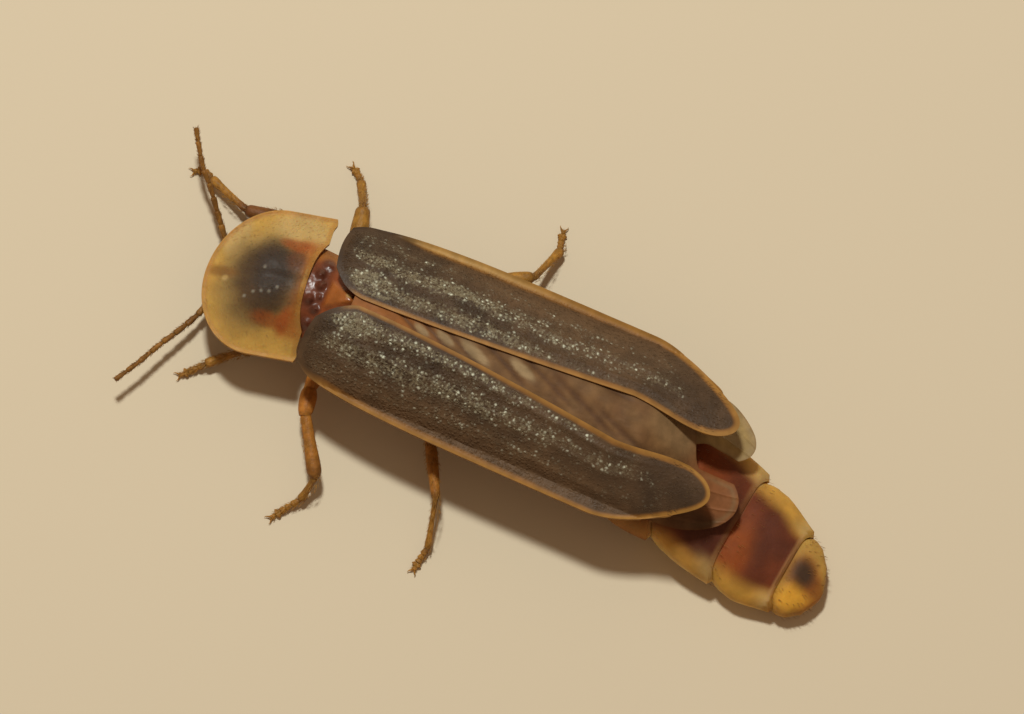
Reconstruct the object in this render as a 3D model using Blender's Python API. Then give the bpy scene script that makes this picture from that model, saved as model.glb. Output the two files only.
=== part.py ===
"""A male firefly at life size, resting on the floor with its wing cases slightly parted.

Lengths are in millimetres while the insect is modelled, and each finished mesh is scaled to
metres.  X points to the insect's left, Y to its tail and Z up, with the floor at Z = 0.
The origin ends at the middle of its footprint, on the floor.
"""
import math

import bmesh
import bpy
from mathutils import Matrix, Vector

METRES_PER_MM = 0.001

# Spacing between neighbouring pieces, and the thickness of wing cases, wings and shield
GAP = 0.3
SHEET = 0.5

# Driving lengths along the body, measured from the front of the shield
BODY_LENGTH = 15.0
WING_CASE_FRONT = 2.3
WING_CASE_END = 11.8
WING_CASE_HALF_WIDTH = 2.1
WING_CASE_RIM = 0.25
WING_CASE_LEAN = 0.0125
WING_CASE_TIP_DRIFT = 0.455
WING_START = 4.5
WING_HALF_WIDTH = 1.2

# Height of the back: the flat outer rim of the wing cases and the arch above that rim
RIM_HEIGHT = 2.15
ARCH_HEIGHT = 1.0
ARCH_END_HEIGHT = 0.75
ARCH_POWER = 2.5
SHOULDER_DROOP = 0.2

# The shield over the head: its size, its turn to the left and the middle of its hind edge
SHIELD_HALF_WIDTH = 1.66
SHIELD_LENGTH = 2.41
SHIELD_STRAIGHT = 1.0
SHIELD_SKEW = 0.12
SHIELD_FRONT_HEIGHT = 1.45
SHIELD_HIND_HEIGHT = 1.6
SHIELD_DOME = 0.85
SHIELD_HIND_NOTCH = 0.22
SHIELD_NOTCH_WIDTH = 0.62
HEAD_TURN = math.radians(5.3)
HEAD_PIVOT = Vector((-0.11, 2.13, 0.0))

# Head and eyes, in the shield's own frame
HEAD_CENTRE = Vector((0.0, -1.38, 0.75))
HEAD_RADII = Vector((0.6, 0.45, 0.5))
EYE_OFFSET = Vector((0.74, -0.03, 0.0))
EYE_RADII = Vector((0.28, 0.34, 0.34))

# The hind part of the abdomen swings to the left
BEND_START = 8.8
BEND_SLOPE = math.tan(math.radians(15.0))
BEND_SOFTNESS = 0.6

# Sides of round pieces, and how square the body's cross-section is (1 is an ellipse)
BODY_SIDES = 20
LIMB_SIDES = 8
BODY_SQUARENESS = 0.85

# Feelers: joints along each, and the points they pass through (x, y, z)
FEELER_JOINTS = 11
FEELER_RADIUS = 0.25
FEELER_TIP_RADIUS = 0.15
FEELERS = {
    "left": [(0.42, 0.12, 0.42), (1.05, 0.01, 0.44), (1.66, -0.27, 0.6),
             (2.16, -0.55, 0.7), (2.70, -0.81, 0.75), (3.28, -1.14, 0.8)],
    "right": [(-0.30, 0.05, 0.42), (-0.64, -0.18, 0.43), (-1.0, -0.49, 0.65),
              (-1.5, -0.91, 0.92), (-1.73, -1.16, 1.02), (-2.09, -1.41, 1.1), (-2.5, -1.66, 1.2)],
}

# Legs: stops (x, y, z, radius) from the body over hip, thigh, knee, shin and foot to the claws
LEGS = {
    "front_left": [(0.95, 1.70, 0.50, 0.25), (1.30, 1.45, 0.42, 0.27), (1.65, 1.06, 0.40, 0.27),
                   (1.88, 0.83, 0.38, 0.25), (2.09, 0.52, 0.26, 0.25), (2.32, 0.32, 0.20, 0.25),
                   (2.44, 0.16, 0.17, 0.20), (2.54, 0.07, 0.12, 0.14)],
    "front_right": [(-0.95, 1.70, 0.50, 0.25), (-1.35, 1.38, 0.42, 0.27), (-1.69, 0.98, 0.40, 0.28),
                    (-1.67, 0.50, 0.42, 0.27), (-1.42, 0.03, 0.48, 0.25), (-1.71, -0.52, 0.30, 0.25),
                    (-1.84, -0.90, 0.21, 0.23), (-1.87, -1.15, 0.17, 0.22), (-1.84, -1.34, 0.12, 0.14)],
    "middle_left": [(0.80, 2.95, 0.45, 0.26), (1.62, 2.90, 0.62, 0.28), (2.13, 2.83, 0.78, 0.25),
                    (2.50, 3.03, 0.84, 0.27), (2.87, 3.30, 0.85, 0.29), (3.31, 3.70, 0.78, 0.25),
                    (3.60, 3.73, 0.60, 0.25), (3.87, 3.70, 0.38, 0.25), (4.07, 3.61, 0.22, 0.25),
                    (4.36, 3.37, 0.18, 0.24), (4.68, 3.15, 0.12, 0.14)],
    "middle_right": [(-0.80, 2.95, 0.45, 0.26), (-1.35, 2.60, 0.58, 0.28), (-1.85, 2.36, 0.74, 0.29),
                     (-2.27, 2.34, 0.75, 0.27), (-2.55, 2.36, 0.60, 0.25), (-2.81, 2.29, 0.35, 0.25),
                     (-3.06, 2.13, 0.19, 0.25), (-3.18, 1.91, 0.17, 0.22), (-3.25, 1.79, 0.12, 0.14)],
    "hind_left": [(0.80, 5.30, 0.45, 0.26), (1.35, 5.48, 0.60, 0.28), (1.87, 5.74, 0.74, 0.28),
                  (2.37, 6.00, 0.80, 0.28), (2.91, 6.33, 0.74, 0.25), (3.32, 6.46, 0.50, 0.25),
                  (3.97, 6.62, 0.20, 0.25), (4.26, 6.50, 0.17, 0.23), (4.50, 6.48, 0.12, 0.14)],
    "hind_right": [(-0.80, 5.30, 0.45, 0.26), (-1.50, 5.45, 0.62, 0.28), (-2.15, 5.75, 0.76, 0.28),
                   (-2.42, 6.08, 0.80, 0.27), (-2.50, 6.46, 0.72, 0.25), (-2.86, 6.64, 0.45, 0.25),
                   (-3.39, 6.75, 0.20, 0.25), (-3.56, 6.68, 0.17, 0.22), (-3.72, 6.63, 0.12, 0.14)],
}
CLAW_LENGTH = 0.16
CLAW_RADIUS = 0.05
CLAW_ROOT_OFFSET = 0.065
CLAW_SPREAD = math.radians(28.0)

# Colours of the solids
DARK_BROWN = (0.035, 0.022, 0.016)
MEMBRANE_BROWN = (0.16, 0.075, 0.035)
AMBER = (0.55, 0.32, 0.09)
LEG_BROWN = (0.25, 0.11, 0.03)
DARK_RED = (0.12, 0.02, 0.008)
ORANGE_RED = (0.35, 0.08, 0.02)
LANTERN_YELLOW = (0.62, 0.47, 0.16)
EYE_BLACK = (0.01, 0.008, 0.007)


def clear_scene():
    for item in list(bpy.data.objects):
        bpy.data.objects.remove(item)


def make_material(name, colour, roughness):
    material = bpy.data.materials.new(name)
    material.use_nodes = True
    shader = material.node_tree.nodes["Principled BSDF"]
    shader.inputs["Base Color"].default_value = (*colour, 1.0)
    shader.inputs["Roughness"].default_value = roughness
    shader.inputs["Metallic"].default_value = 0.0
    return material


def add_piece(name, bm, material):
    """Turns a closed shape into a named object in metres, smooth where it is round."""
    bmesh.ops.recalc_face_normals(bm, faces=bm.faces[:])
    bmesh.ops.triangulate(bm, faces=bm.faces[:])
    bmesh.ops.transform(bm, matrix=Matrix.Scale(METRES_PER_MM, 4), verts=bm.verts[:])
    mesh = bpy.data.meshes.new(name)
    bm.to_mesh(mesh)
    bm.free()
    mesh.materials.append(material)
    mesh.shade_smooth()
    mesh.set_sharp_from_angle(angle=math.radians(50.0))
    piece = bpy.data.objects.new(name, mesh)
    bpy.context.scene.collection.objects.link(piece)
    return piece


def largest_body(bm):
    """Keeps only the closed surface with the most volume."""
    left = set(bm.faces)
    bodies = []
    while left:
        body = {left.pop()}
        edge_of_body = list(body)
        while edge_of_body:
            face = edge_of_body.pop()
            touching = {other for edge in face.edges for other in edge.link_faces}
            found = touching & left
            left -= found
            body |= found
            edge_of_body.extend(found)
        bodies.append(body)
    keep = max(bodies, key=len)
    for body in bodies:
        if body is not keep:
            verts = {vert for face in body for vert in face.verts}
            bmesh.ops.delete(bm, geom=list(verts), context="VERTS")


def combine(parts, operation="UNION"):
    """Joins closed shapes into one, or cuts the later ones out of the first."""
    objects = []
    for index, bm in enumerate(parts):
        bmesh.ops.recalc_face_normals(bm, faces=bm.faces[:])
        mesh = bpy.data.meshes.new("piece_%d" % index)
        bm.to_mesh(mesh)
        bm.free()
        objects.append(bpy.data.objects.new("piece_%d" % index, mesh))
    bpy.context.scene.collection.objects.link(objects[0])
    others = bpy.data.collections.new("others")
    bpy.context.scene.collection.children.link(others)
    for item in objects[1:]:
        others.objects.link(item)
    cut = objects[0].modifiers.new("join", "BOOLEAN")
    cut.operation = operation
    cut.operand_type = "COLLECTION"
    cut.collection = others
    cut.solver = "EXACT"
    graph = bpy.context.evaluated_depsgraph_get()
    result = bmesh.new()
    result.from_mesh(objects[0].evaluated_get(graph).to_mesh())
    for item in objects:
        bpy.data.objects.remove(item)
    bpy.data.collections.remove(others)
    largest_body(result)
    return result


def ring_loft(rings, sides):
    """A closed body through rings, each of which turns an angle into a point."""
    bm = bmesh.new()
    corner = bm.verts.layers.int.new("corner")
    bmesh.ops.create_circle(bm, cap_ends=True, segments=sides, radius=1.0)
    for index, vert in enumerate(bm.verts):
        vert[corner] = index

    def shape(face, ring):
        for vert in face.verts:
            vert.co = ring(math.tau * vert[corner] / sides)

    bm.faces.ensure_lookup_table()
    end = bm.faces[0]
    shape(end, rings[0])
    for ring in rings[1:]:
        made = bmesh.ops.extrude_face_region(bm, geom=[end, *end.edges])
        end = next(item for item in made["geom"] if isinstance(item, bmesh.types.BMFace))
        shape(end, ring)
    return bm


def body_ring(y, half_width, top, bottom):
    """A ring across the body at y, from its lowest to its highest point."""
    middle = (top + bottom) / 2.0
    turn = math.atan(bend_direction(y))
    centre = Vector((bend(y), y, 0.0))
    side = Vector((math.cos(turn), -math.sin(turn), 0.0))

    def point(angle):
        across = math.copysign(abs(math.cos(angle)) ** BODY_SQUARENESS, math.cos(angle))
        upward = math.copysign(abs(math.sin(angle)) ** BODY_SQUARENESS, math.sin(angle))
        place = centre + side * half_width * across
        place.z = middle + (top - middle) * upward
        return place

    return point


def bend(y):
    """How far the middle of the abdomen lies to the left at y."""
    past = y - BEND_START
    return BEND_SLOPE * (past + math.hypot(past, BEND_SOFTNESS)) / 2.0


def bend_direction(y):
    past = y - BEND_START
    return BEND_SLOPE * (1.0 + past / math.hypot(past, BEND_SOFTNESS)) / 2.0


def smooth_route(stops, steps):
    """Points (x, y, z, radius) on a smooth curve through the stops."""
    route = []
    last = len(stops) - 1
    for index in range(last):
        before, start = stops[max(index - 1, 0)], stops[index]
        end, after = stops[index + 1], stops[min(index + 2, last)]
        for step in range(steps):
            t = step / steps
            route.append(tuple(
                0.5 * (2.0 * q + (r - p) * t + (2.0 * p - 5.0 * q + 4.0 * r - s) * t * t
                       + (3.0 * q - p - 3.0 * r + s) * t * t * t)
                for p, q, r, s in zip(before, start, end, after)))
    route.append(tuple(stops[last]))
    return route


def limb(route, sides=LIMB_SIDES):
    """A round limb through a route of (x, y, z, radius)."""
    places = [Vector(stop[:3]) for stop in route]
    rings = []
    for index, place in enumerate(places):
        ahead = places[min(index + 1, len(places) - 1)]
        behind = places[max(index - 1, 0)]
        along = (ahead - behind).normalized()
        side = along.cross(Vector((0.0, 0.0, 1.0))).normalized()
        upward = side.cross(along)
        rings.append(limb_ring(place, side * route[index][3], upward * route[index][3]))
    return ring_loft(rings, sides)


def limb_ring(place, side, upward):
    def point(angle):
        return place + side * math.cos(angle) + upward * math.sin(angle)

    return point


def flatten_on_floor(bm):
    """Cuts away what lies below the floor and closes the cut with a flat face."""
    if min(vert.co.z for vert in bm.verts) >= 0.0:
        return
    bmesh.ops.bisect_plane(bm, geom=bm.verts[:] + bm.edges[:] + bm.faces[:], dist=0.001,
                           plane_co=(0.0, 0.0, 0.0), plane_no=(0.0, 0.0, 1.0), clear_inner=True)
    rim = [edge for edge in bm.edges if edge.is_boundary]
    bmesh.ops.edgeloop_fill(bm, edges=rim)


def ball(centre, radii, segments=16, rings=10):
    bm = bmesh.new()
    bmesh.ops.create_uvsphere(bm, u_segments=segments, v_segments=rings, radius=1.0)
    bmesh.ops.scale(bm, vec=radii, verts=bm.verts[:])
    bmesh.ops.translate(bm, vec=centre, verts=bm.verts[:])
    return bm


def sheet(plan, height, columns, rows, thickness=SHEET):
    """A thin curved shell.  plan turns a place in a square into x and y, height gives its top."""
    bm = bmesh.new()
    bmesh.ops.create_grid(bm, x_segments=columns, y_segments=rows, size=1.0)
    for vert in bm.verts:
        a, b = vert.co.x, vert.co.y
        x, y = plan(a, b)
        vert.co = (x, y, height(a, b, x, y))
    bmesh.ops.recalc_face_normals(bm, faces=bm.faces[:])
    bmesh.ops.triangulate(bm, faces=bm.faces[:])
    bm.normal_update()
    place = bm.verts.layers.int.new("place")
    inward = []
    for index, vert in enumerate(bm.verts):
        vert[place] = index
        normal = vert.normal if vert.normal.z > 0.0 else -vert.normal
        inward.append(-(normal + Vector((0.0, 0.0, 1.0))).normalized() * thickness)
    made = bmesh.ops.extrude_face_region(bm, geom=bm.faces[:])
    for item in made["geom"]:
        if isinstance(item, bmesh.types.BMVert):
            item.co += inward[item[place]]
    return bm


def round_off(a, t, roundness):
    """Bends the end of a square strip (t from 0 to 1) into a rounded end."""
    return (a * math.sqrt(1.0 - roundness * t * t / 2.0),
            t * math.sqrt(1.0 - roundness * a * a / 2.0))


def turn_with_head(bm):
    bmesh.ops.rotate(bm, cent=(0.0, 0.0, 0.0), matrix=Matrix.Rotation(HEAD_TURN, 3, "Z"),
                     verts=bm.verts[:])
    bmesh.ops.translate(bm, vec=HEAD_PIVOT, verts=bm.verts[:])
    return bm


def back_height(x, y):
    """The top of the wing cases over a point of the floor."""
    along = min(max((y - WING_CASE_FRONT) / (WING_CASE_END - WING_CASE_FRONT), 0.0), 1.0)
    arch = ARCH_HEIGHT + (ARCH_END_HEIGHT - ARCH_HEIGHT) * along ** 3
    across = min(abs(x) / (WING_CASE_HALF_WIDTH - WING_CASE_RIM), 1.0)
    return RIM_HEIGHT + arch * (1.0 - across ** ARCH_POWER) - SHOULDER_DROOP * (1.0 - along) ** 6


def make_shield(material):
    """The flat-rimmed shield over the head, its hind corners drawn back."""
    straight_share = 0.4
    round_length = SHIELD_LENGTH - SHIELD_STRAIGHT

    def plan(a, b):
        share = (b + 1.0) / 2.0
        if share < straight_share:
            notch = SHIELD_HIND_NOTCH * (1.0 - min(abs(a) / SHIELD_NOTCH_WIDTH, 1.0) ** 3)
            u = a
            y = -notch + (notch - SHIELD_STRAIGHT) * share / straight_share
        else:
            u, w = round_off(a, (share - straight_share) / (1.0 - straight_share), 1.0)
            y = -SHIELD_STRAIGHT - w * round_length
        return u * SHIELD_HALF_WIDTH - SHIELD_SKEW * y, y

    def height(a, b, x, y):
        rim = SHIELD_HIND_HEIGHT - (SHIELD_FRONT_HEIGHT - SHIELD_HIND_HEIGHT) * y / SHIELD_LENGTH
        forward = max(-y - SHIELD_STRAIGHT, 0.0) / round_length
        backward = max(y + SHIELD_STRAIGHT, 0.0) / SHIELD_STRAIGHT
        across = (x + SHIELD_SKEW * y) / SHIELD_HALF_WIDTH
        spread = max(1.0 - across * across - forward * forward, 0.0)
        return rim + SHIELD_DOME * spread ** 1.5 * (1.0 - 0.15 * backward ** 2)

    add_piece("pronotum", turn_with_head(sheet(plan, height, 14, 13)), material)


def make_head(material, eye_material):
    head = ball(HEAD_CENTRE, HEAD_RADII, 20, 14)
    snout_centre = HEAD_CENTRE + Vector((0.0, -0.28, -0.3))
    snout = ball(snout_centre, Vector((0.26, 0.24, 0.2)), 12, 8)
    jaws = []
    for side in (1.0, -1.0):
        tip = snout_centre + Vector((side * 0.14, -0.2, -0.05))
        jaws.append(ball(tip, Vector((0.09, 0.14, 0.09)), 8, 6))
    head = combine([head, snout, *jaws])
    cups = []
    for side in (1.0, -1.0):
        offset = Vector((side * EYE_OFFSET.x, EYE_OFFSET.y, EYE_OFFSET.z))
        clear = EYE_RADII + Vector((0.2, 0.2, 0.2))
        cups.append(ball(HEAD_CENTRE + offset, clear, 16, 10))
    head = combine([head, *cups], "DIFFERENCE")
    add_piece("head", turn_with_head(head), material)
    for side, label in ((1.0, "left"), (-1.0, "right")):
        offset = Vector((side * EYE_OFFSET.x, EYE_OFFSET.y, EYE_OFFSET.z))
        eye = ball(HEAD_CENTRE + offset, EYE_RADII, 16, 10)
        add_piece("eye_" + label, turn_with_head(eye), eye_material)


def make_feelers(material):
    """Thread-like feelers, each joint a little thicker towards its far end."""
    for label, points in FEELERS.items():
        path = smooth_route(points, 6)
        route = []
        for joint in range(FEELER_JOINTS):
            for share, swell in ((0.04, 0.86), (0.8, 1.0), (0.98, 0.9)):
                along = (joint + share) / FEELER_JOINTS
                radius = FEELER_RADIUS + (FEELER_TIP_RADIUS - FEELER_RADIUS) * along ** 2
                route.append((*point_along(path, along), radius * swell))
        add_piece("antenna_" + label, limb(route), material)


def point_along(path, share):
    """The point at a share of the length of a path."""
    places = [Vector(point) for point in path]
    lengths = [(end - start).length for start, end in zip(places, places[1:])]
    left = share * sum(lengths)
    for start, end, length in zip(places, places[1:], lengths):
        if left <= length:
            return start.lerp(end, left / length)
        left -= length
    return places[-1]


def make_prothorax(material):
    rings = [body_ring(1.35, 0.4, 1.35, 0.75), body_ring(1.45, 0.55, 1.48, 0.65),
             body_ring(1.95, 0.6, 1.5, 0.62), body_ring(2.05, 0.45, 1.4, 0.75)]
    add_piece("prothorax", ring_loft(rings, BODY_SIDES), material)


def make_thorax(material):
    """The trunk under the wing cases: low in front, high at the wing roots, low behind them."""
    low, high, behind = 1.8, 2.3, 1.25
    stations = [(2.35, 0.9, 1.65, 1.1), (2.5, 1.1, low, 0.92), (3.05, 1.28, low, 0.9),
                (3.3, 1.32, high, 0.9), (4.05, 1.35, high, 0.9), (4.2, 1.36, behind + 0.1, 0.9),
                (5.6, 1.4, behind, 0.9), (5.9, 1.15, 1.15, 1.0)]
    rings = [body_ring(*station) for station in stations]
    add_piece("thorax", ring_loft(rings, BODY_SIDES), material)


def make_mesonotum(material):
    """The three-cornered plate between the wing cases, with the knobs in front of it."""
    plate = ring_loft([body_ring(2.42, 0.46, 2.56, 2.2), body_ring(2.55, 0.44, 2.62, 2.12),
                       body_ring(2.85, 0.17, 2.58, 2.16), body_ring(2.98, 0.08, 2.54, 2.24)], 12)
    knobs = [ball(Vector((x, 2.48, 2.33)), Vector((0.19, 0.19, 0.22)), 12, 8)
             for x in (-0.4, 0.0, 0.4)]
    add_piece("mesonotum", combine([plate, *knobs]), material)


def wing_case_inner(y):
    """Distance of the inner edge from the middle line."""
    meeting, closest = 3.2, GAP / 2.0
    if y < meeting:
        return closest + 0.7 * ((meeting - y) / (meeting - WING_CASE_FRONT)) ** 1.3
    return closest + 0.45 * ((y - meeting) / 6.9) ** 1.6


def wing_case_outer(y):
    return WING_CASE_HALF_WIDTH - 0.42 * math.exp((WING_CASE_FRONT - y) / 1.3)


def make_wing_case(side, label, material):
    """One wing case, its tip drawn inwards, the pair leaning slightly to the left."""
    tip_start = 9.4
    shoulder_end = WING_CASE_FRONT + 0.5
    front_share, tip_share = 0.08, 0.7

    def plan(a, b):
        share = (b + 1.0) / 2.0
        drift = 0.0
        if share > tip_share:
            inner, outer = wing_case_inner(tip_start), wing_case_outer(tip_start)
            u, w = round_off(a, (share - tip_share) / (1.0 - tip_share), 1.0)
            y = tip_start + (WING_CASE_END - tip_start) * w
            drift = WING_CASE_TIP_DRIFT * w * w * (3.0 - 2.0 * w)
        else:
            u = a
            if share < front_share:
                u, w = round_off(a, 1.0 - share / front_share, 0.6)
                y = shoulder_end + (WING_CASE_FRONT - shoulder_end) * w
            else:
                straight = (share - front_share) / (tip_share - front_share)
                y = shoulder_end + (tip_start - shoulder_end) * straight
            inner, outer = wing_case_inner(y), wing_case_outer(y)
        across = (inner + outer) / 2.0 - drift + u * (outer - inner) / 2.0
        return side * across + WING_CASE_LEAN * (y - WING_CASE_FRONT), y

    def height(a, b, x, y):
        on_rib = round(a * 7.0) in (-3, 1) and abs(b) < 0.85
        return back_height(x, y) + (0.06 if on_rib else 0.0)

    add_piece("elytron_" + label, sheet(plan, height, 14, 26), material)


def make_hind_wing(side, label, end, material):
    """A folded hind wing under its wing case, with its main veins raised along it."""
    inner, outer = GAP / 2.0, WING_HALF_WIDTH
    middle, half = (inner + outer) / 2.0, (outer - inner) / 2.0
    tip_start = 10.6
    tip_share = 0.7
    below_back = SHEET + GAP + 0.1

    def plan(a, b):
        share = (b + 1.0) / 2.0
        if share > tip_share:
            u, w = round_off(a, (share - tip_share) / (1.0 - tip_share), 1.0)
            return side * (middle + u * half), tip_start + (end - tip_start) * w
        return side * (middle + a * half), WING_START + (tip_start - WING_START) * share / tip_share

    def height(a, b, x, y):
        on_vein = round(a * 5.0) in (-3, 0, 3) and abs(b) < 0.95
        return back_height(x, y) - below_back + (0.1 if on_vein else 0.0)

    add_piece("hindwing_" + label, sheet(plan, height, 10, 20), material)


def make_legs(material):
    for label, stops in LEGS.items():
        leg = limb(smooth_route(stops, 2))
        flatten_on_floor(leg)
        end, before = Vector(stops[-1][:3]), Vector(stops[-2][:3])
        forward = (end - before).normalized()
        sideways = Vector((-forward.y, forward.x, 0.0)).normalized()
        parts = [leg]
        for side in (1.0, -1.0):
            reach = Matrix.Rotation(side * CLAW_SPREAD, 3, "Z") @ forward * CLAW_LENGTH
            root = end + sideways * side * CLAW_ROOT_OFFSET - forward * CLAW_LENGTH * 0.4
            tip = root + forward * CLAW_LENGTH * 0.4 + reach
            tip.z = 0.06
            parts.append(limb([(*root, CLAW_RADIUS), (*tip, CLAW_RADIUS * 0.6)], 6))
        add_piece("leg_" + label, combine(parts), material)


def segment_rings(start, end, half_width, end_half_width, top, bottom):
    """One ring of the abdomen, widening to the corners of its hind edge."""
    flare = 0.1
    length = end - start
    return [body_ring(start, half_width - flare, top - 0.1, bottom + 0.06),
            body_ring(start + 0.12 * length, half_width, top, bottom),
            body_ring(start + 0.6 * length, (half_width + end_half_width) / 2.0, top, bottom),
            body_ring(end - 0.04, end_half_width + flare, top, bottom),
            body_ring(end, end_half_width, top - 0.06, bottom + 0.04)]


def make_abdomen(dark, yellow):
    ends = [6.2, 7.2, 8.1, 9.0, 9.9, 10.7]
    widths = [1.4, 1.5, 1.55, 1.55, 1.52, 1.48]
    tops = [1.38, 1.36, 1.32, 1.25, 1.12, 1.02]
    rings = []
    for index in range(5):
        rings += segment_rings(ends[index], ends[index + 1] - 0.02, widths[index], widths[index + 1],
                               tops[index + 1], 0.35 - 0.03 * index)
    add_piece("abdomen", ring_loft(rings, BODY_SIDES), dark)
    front = segment_rings(11.0, 12.45, 1.44, 1.33, 1.1, 0.12)
    add_piece("lantern_front", ring_loft(front, BODY_SIDES), yellow)
    rear = ring_loft(segment_rings(12.75, 13.85, 1.28, 1.1, 1.0, -0.04), BODY_SIDES)
    flatten_on_floor(rear)
    add_piece("lantern_rear", rear, yellow)
    tip = [body_ring(14.15, 0.92, 0.78, 0.08), body_ring(14.25, 0.98, 0.85, 0.04),
           body_ring(14.55, 0.88, 0.8, 0.06), body_ring(14.85, 0.55, 0.68, 0.12),
           body_ring(BODY_LENGTH, 0.2, 0.5, 0.22)]
    add_piece("tail_tip", ring_loft(tip, BODY_SIDES), dark)


def centre_on_floor():
    """Puts the origin at the middle of the footprint, at floor level."""
    pieces = list(bpy.context.scene.collection.objects)
    points = [vert.co for piece in pieces for vert in piece.data.vertices]
    lowest = [min(point[axis] for point in points) for axis in range(3)]
    highest = [max(point[axis] for point in points) for axis in range(3)]
    shift = Vector((-(lowest[0] + highest[0]) / 2.0, -(lowest[1] + highest[1]) / 2.0, -lowest[2]))
    for piece in pieces:
        piece.location = shift


def main():
    clear_scene()
    dark_brown = make_material("wing_case_brown", DARK_BROWN, 0.45)
    membrane = make_material("wing_membrane", MEMBRANE_BROWN, 0.4)
    amber = make_material("shield_amber", AMBER, 0.45)
    leg_brown = make_material("limb_brown", LEG_BROWN, 0.5)
    dark_red = make_material("abdomen_red", DARK_RED, 0.4)
    orange_red = make_material("trunk_orange", ORANGE_RED, 0.4)
    yellow = make_material("lantern_yellow", LANTERN_YELLOW, 0.45)
    black = make_material("eye_black", EYE_BLACK, 0.15)
    make_shield(amber)
    make_head(orange_red, black)
    make_feelers(leg_brown)
    make_prothorax(orange_red)
    make_thorax(orange_red)
    make_mesonotum(orange_red)
    for side, label, end in ((1.0, "left", 12.45), (-1.0, "right", 12.25)):
        make_wing_case(side, label, dark_brown)
        make_hind_wing(side, label, end, membrane)
    make_legs(leg_brown)
    make_abdomen(dark_red, yellow)
    centre_on_floor()


main()
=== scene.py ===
"""A male firefly at life size on a pale floor, seen from above.

Pieces are modelled in millimetres in the insect's own frame: X to its left, Y towards its tail,
Z up from the floor, with Y = 0 at the front of the shield.  Each finished mesh is then scaled to
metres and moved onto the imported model.
"""
import math
import random

import bmesh
import bpy
from mathutils import Matrix, Vector, kdtree, noise


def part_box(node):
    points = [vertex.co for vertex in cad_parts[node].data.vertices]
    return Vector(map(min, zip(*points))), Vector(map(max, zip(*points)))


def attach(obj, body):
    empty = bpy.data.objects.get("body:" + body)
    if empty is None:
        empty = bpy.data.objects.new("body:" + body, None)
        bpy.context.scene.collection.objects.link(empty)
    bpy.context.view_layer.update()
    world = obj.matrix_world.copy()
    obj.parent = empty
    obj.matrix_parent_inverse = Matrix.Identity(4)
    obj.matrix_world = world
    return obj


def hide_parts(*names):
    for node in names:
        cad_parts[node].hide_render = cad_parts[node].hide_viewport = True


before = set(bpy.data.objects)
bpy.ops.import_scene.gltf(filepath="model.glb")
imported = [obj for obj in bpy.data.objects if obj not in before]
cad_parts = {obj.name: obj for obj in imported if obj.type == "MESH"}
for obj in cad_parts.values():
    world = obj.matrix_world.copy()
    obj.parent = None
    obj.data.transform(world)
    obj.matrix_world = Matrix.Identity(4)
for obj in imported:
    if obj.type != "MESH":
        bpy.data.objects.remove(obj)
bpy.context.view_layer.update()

MM = 0.001
UP = Vector((0.0, 0.0, 1.0))
LEFT, RIGHT = 1.0, -1.0

# The wing cases: front, start and end of the tip, half their common width, lean to the left
WING_CASE_FRONT = 2.3
WING_CASE_TIP_START = 9.4
WING_CASE_END = 11.8
WING_CASE_HALF_WIDTH = 2.1
WING_CASE_RIM = 0.25
WING_CASE_LEAN = 0.0125
WING_CASE_TIP_DRIFT = 0.455
WING_CASE_THICKNESS = 0.045

# Height of the back: the flat outer rim and the arch above it
RIM_HEIGHT = 2.15
ARCH_HEIGHT = 1.0
ARCH_END_HEIGHT = 0.75
ARCH_POWER = 2.5
SHOULDER_DROOP = 0.2

# The shield over the head, its turn to the left and the middle of its hind edge
SHIELD_HALF_WIDTH = 1.66
SHIELD_LENGTH = 2.41
SHIELD_STRAIGHT = 1.0
SHIELD_SKEW = 0.12
SHIELD_FRONT_HEIGHT = 1.45
SHIELD_HIND_HEIGHT = 1.6
SHIELD_DOME = 0.85
SHIELD_HIND_NOTCH = 0.22
SHIELD_NOTCH_WIDTH = 0.62
SHIELD_THICKNESS = 0.1
HEAD_TURN = math.radians(5.3)
HEAD_PIVOT = Vector((-0.11, 2.13, 0.0))
HEAD_CENTRE = Vector((0.0, -1.38, 0.78))
HEAD_RADII = Vector((0.62, 0.48, 0.5))
EYE_OFFSET = Vector((0.56, -0.06, 0.02))
EYE_RADIUS = 0.4

# The hind part of the abdomen swings to the left
BEND_START = 8.8
BEND_SLOPE = math.tan(math.radians(15.0))
BEND_SOFTNESS = 0.6

# Feelers: points they pass through, from the socket on the brow
FEELERS = {
    "left": [(0.17, 0.42, 0.86), (0.32, 0.22, 0.74), (0.62, 0.08, 0.6), (1.05, 0.01, 0.52),
             (1.66, -0.27, 0.6), (2.16, -0.55, 0.7), (2.70, -0.81, 0.75), (3.30, -1.15, 0.8)],
    "right": [(-0.08, 0.40, 0.86), (-0.22, 0.18, 0.74), (-0.34, 0.03, 0.62), (-0.64, -0.18, 0.55),
              (-1.0, -0.49, 0.68), (-1.5, -0.91, 0.92), (-1.73, -1.16, 1.02),
              (-2.09, -1.41, 1.1), (-2.52, -1.68, 1.2)],
}

# Relative lengths of the joints of a feeler, its radius at the root and how much it narrows
FEELER_JOINTS = (1.25, 0.55, 0.85) + (1.0,) * 8
FEELER_RADIUS = 0.078
FEELER_TAPER = 0.024

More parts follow.
